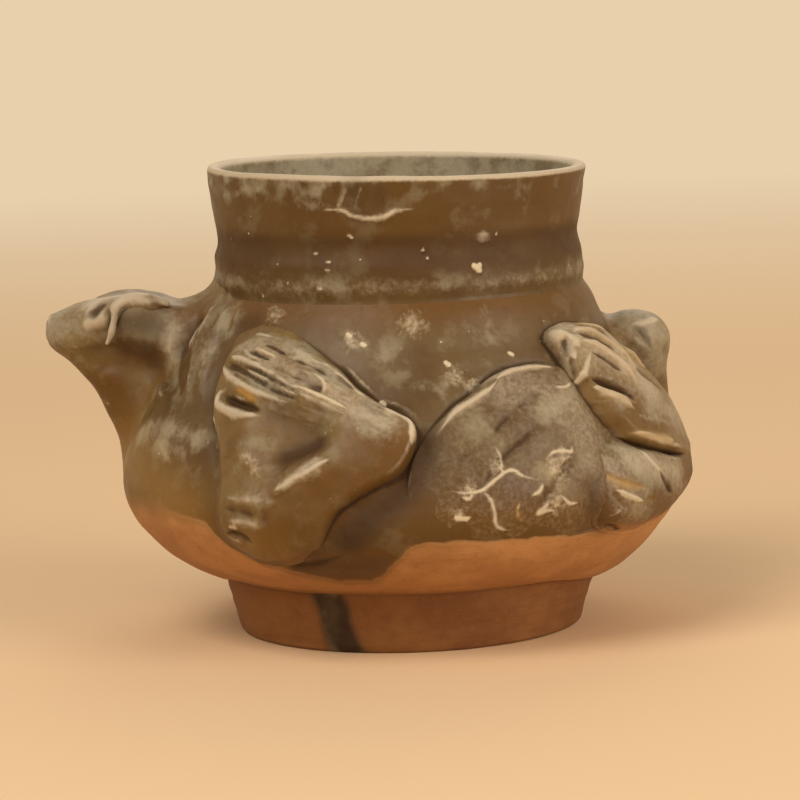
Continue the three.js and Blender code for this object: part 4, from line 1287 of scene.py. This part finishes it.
def build_floor():
    """A pale matt floor that fades into the pale backdrop well behind the pot."""
    material = bpy.data.materials.new("pale_studio_floor")
    tree = empty_tree(material)
    place = add(tree, "TexCoord", out="Object")
    reach = add(tree, "VectorMath", {0: place}, out="Value", operation="LENGTH")
    inputs = {"Value": reach, "From Min": FADE_START, "From Max": FADE_END}
    far = add(tree, "MapRange", inputs, interpolation_type="SMOOTHSTEP")
    matt = add(tree, "BsdfDiffuse", {"Color": "#e8c8a0"})
    clear = add(tree, "BsdfTransparent")
    shader = add(tree, "MixShader", {0: far, 1: matt, 2: clear})
    add(tree, "OutputMaterial", {"Surface": shader})
    mesh = bpy.data.meshes.new("floor")
    turn = np.linspace(0, 2 * np.pi, 64, endpoint=False)
    corners = [(DISC * math.cos(t), DISC * math.sin(t), 0) for t in turn]
    mesh.from_pydata(corners, [], [list(range(len(corners)))])
    mesh.materials.append(material)
    floor = linked("floor", mesh)


def build_world():
    world = bpy.data.worlds.new("studio")
    bpy.context.scene.world = world
    tree = empty_tree(world)
    camera = add(tree, "LightPath", out="Is Camera Ray")
    glossy = add(tree, "LightPath", out="Is Glossy Ray")
    through = add(tree, "LightPath", out="Is Transmission Ray")
    seen = add(tree, "Math", {0: camera, 1: glossy}, operation="ADD", use_clamp=True)
    seen = add(tree, "Math", {0: seen, 1: through}, operation="ADD", use_clamp=True)
    fill = add(tree, "Background", {"Color": "#fff3e4", "Strength": 0.3})
    pale = add(tree, "Background", {"Color": "#e9d0ac", "Strength": 1.0})
    shader = add(tree, "MixShader", {0: seen, 1: fill, 2: pale})
    add(tree, "OutputWorld", {"Surface": shader})


def add_lamp(name, place, size, power, tone):
    data = bpy.data.lights.new(name, "AREA")
    data.size = size
    data.energy = power
    data.color = colour(tone)[:3]
    lamp = linked(name, data)
    lamp.location = place
    lamp.rotation_euler = (-Vector(place)).to_track_quat("-Z", "Y").to_euler()


# The camera stands where it does in the photograph: its place and aim in mm, its tilt about the line
# of sight in radians, and its lens for a frame 36 mm wide
CAMERA_PLACE = (-0.733, -644.5, 122.4)
CAMERA_AIM = (-0.733, 0.0, 38.6)
CAMERA_TILT = -0.0336
CAMERA_LENS = 169.7


def build_camera():
    data = bpy.data.cameras.new("camera")
    data.lens = CAMERA_LENS
    data.sensor_width = 36
    data.clip_start = 0.01
    data.clip_end = 20
    camera = linked("camera", data)
    place = Vector(CAMERA_PLACE) * MM
    aim = (Vector(CAMERA_AIM) * MM - place).to_track_quat("-Z", "Y").to_matrix().to_4x4()
    camera.matrix_world = Matrix.Translation(place) @ aim @ Matrix.Rotation(CAMERA_TILT, 4, "Z")
    bpy.context.scene.camera = camera


build_floor()
build_world()
add_lamp("key", (-0.4, -0.48, 0.62), 0.5, 4.6, "#fff5e8")
add_lamp("fill", (0.7, -0.5, 0.35), 0.6, 5.2, "#fff2e2")
add_lamp("back", (0.1, 0.7, 0.6), 0.6, 2.0, "#fff6ec")
build_camera()
bpy.context.scene.view_settings.view_transform = "Standard"
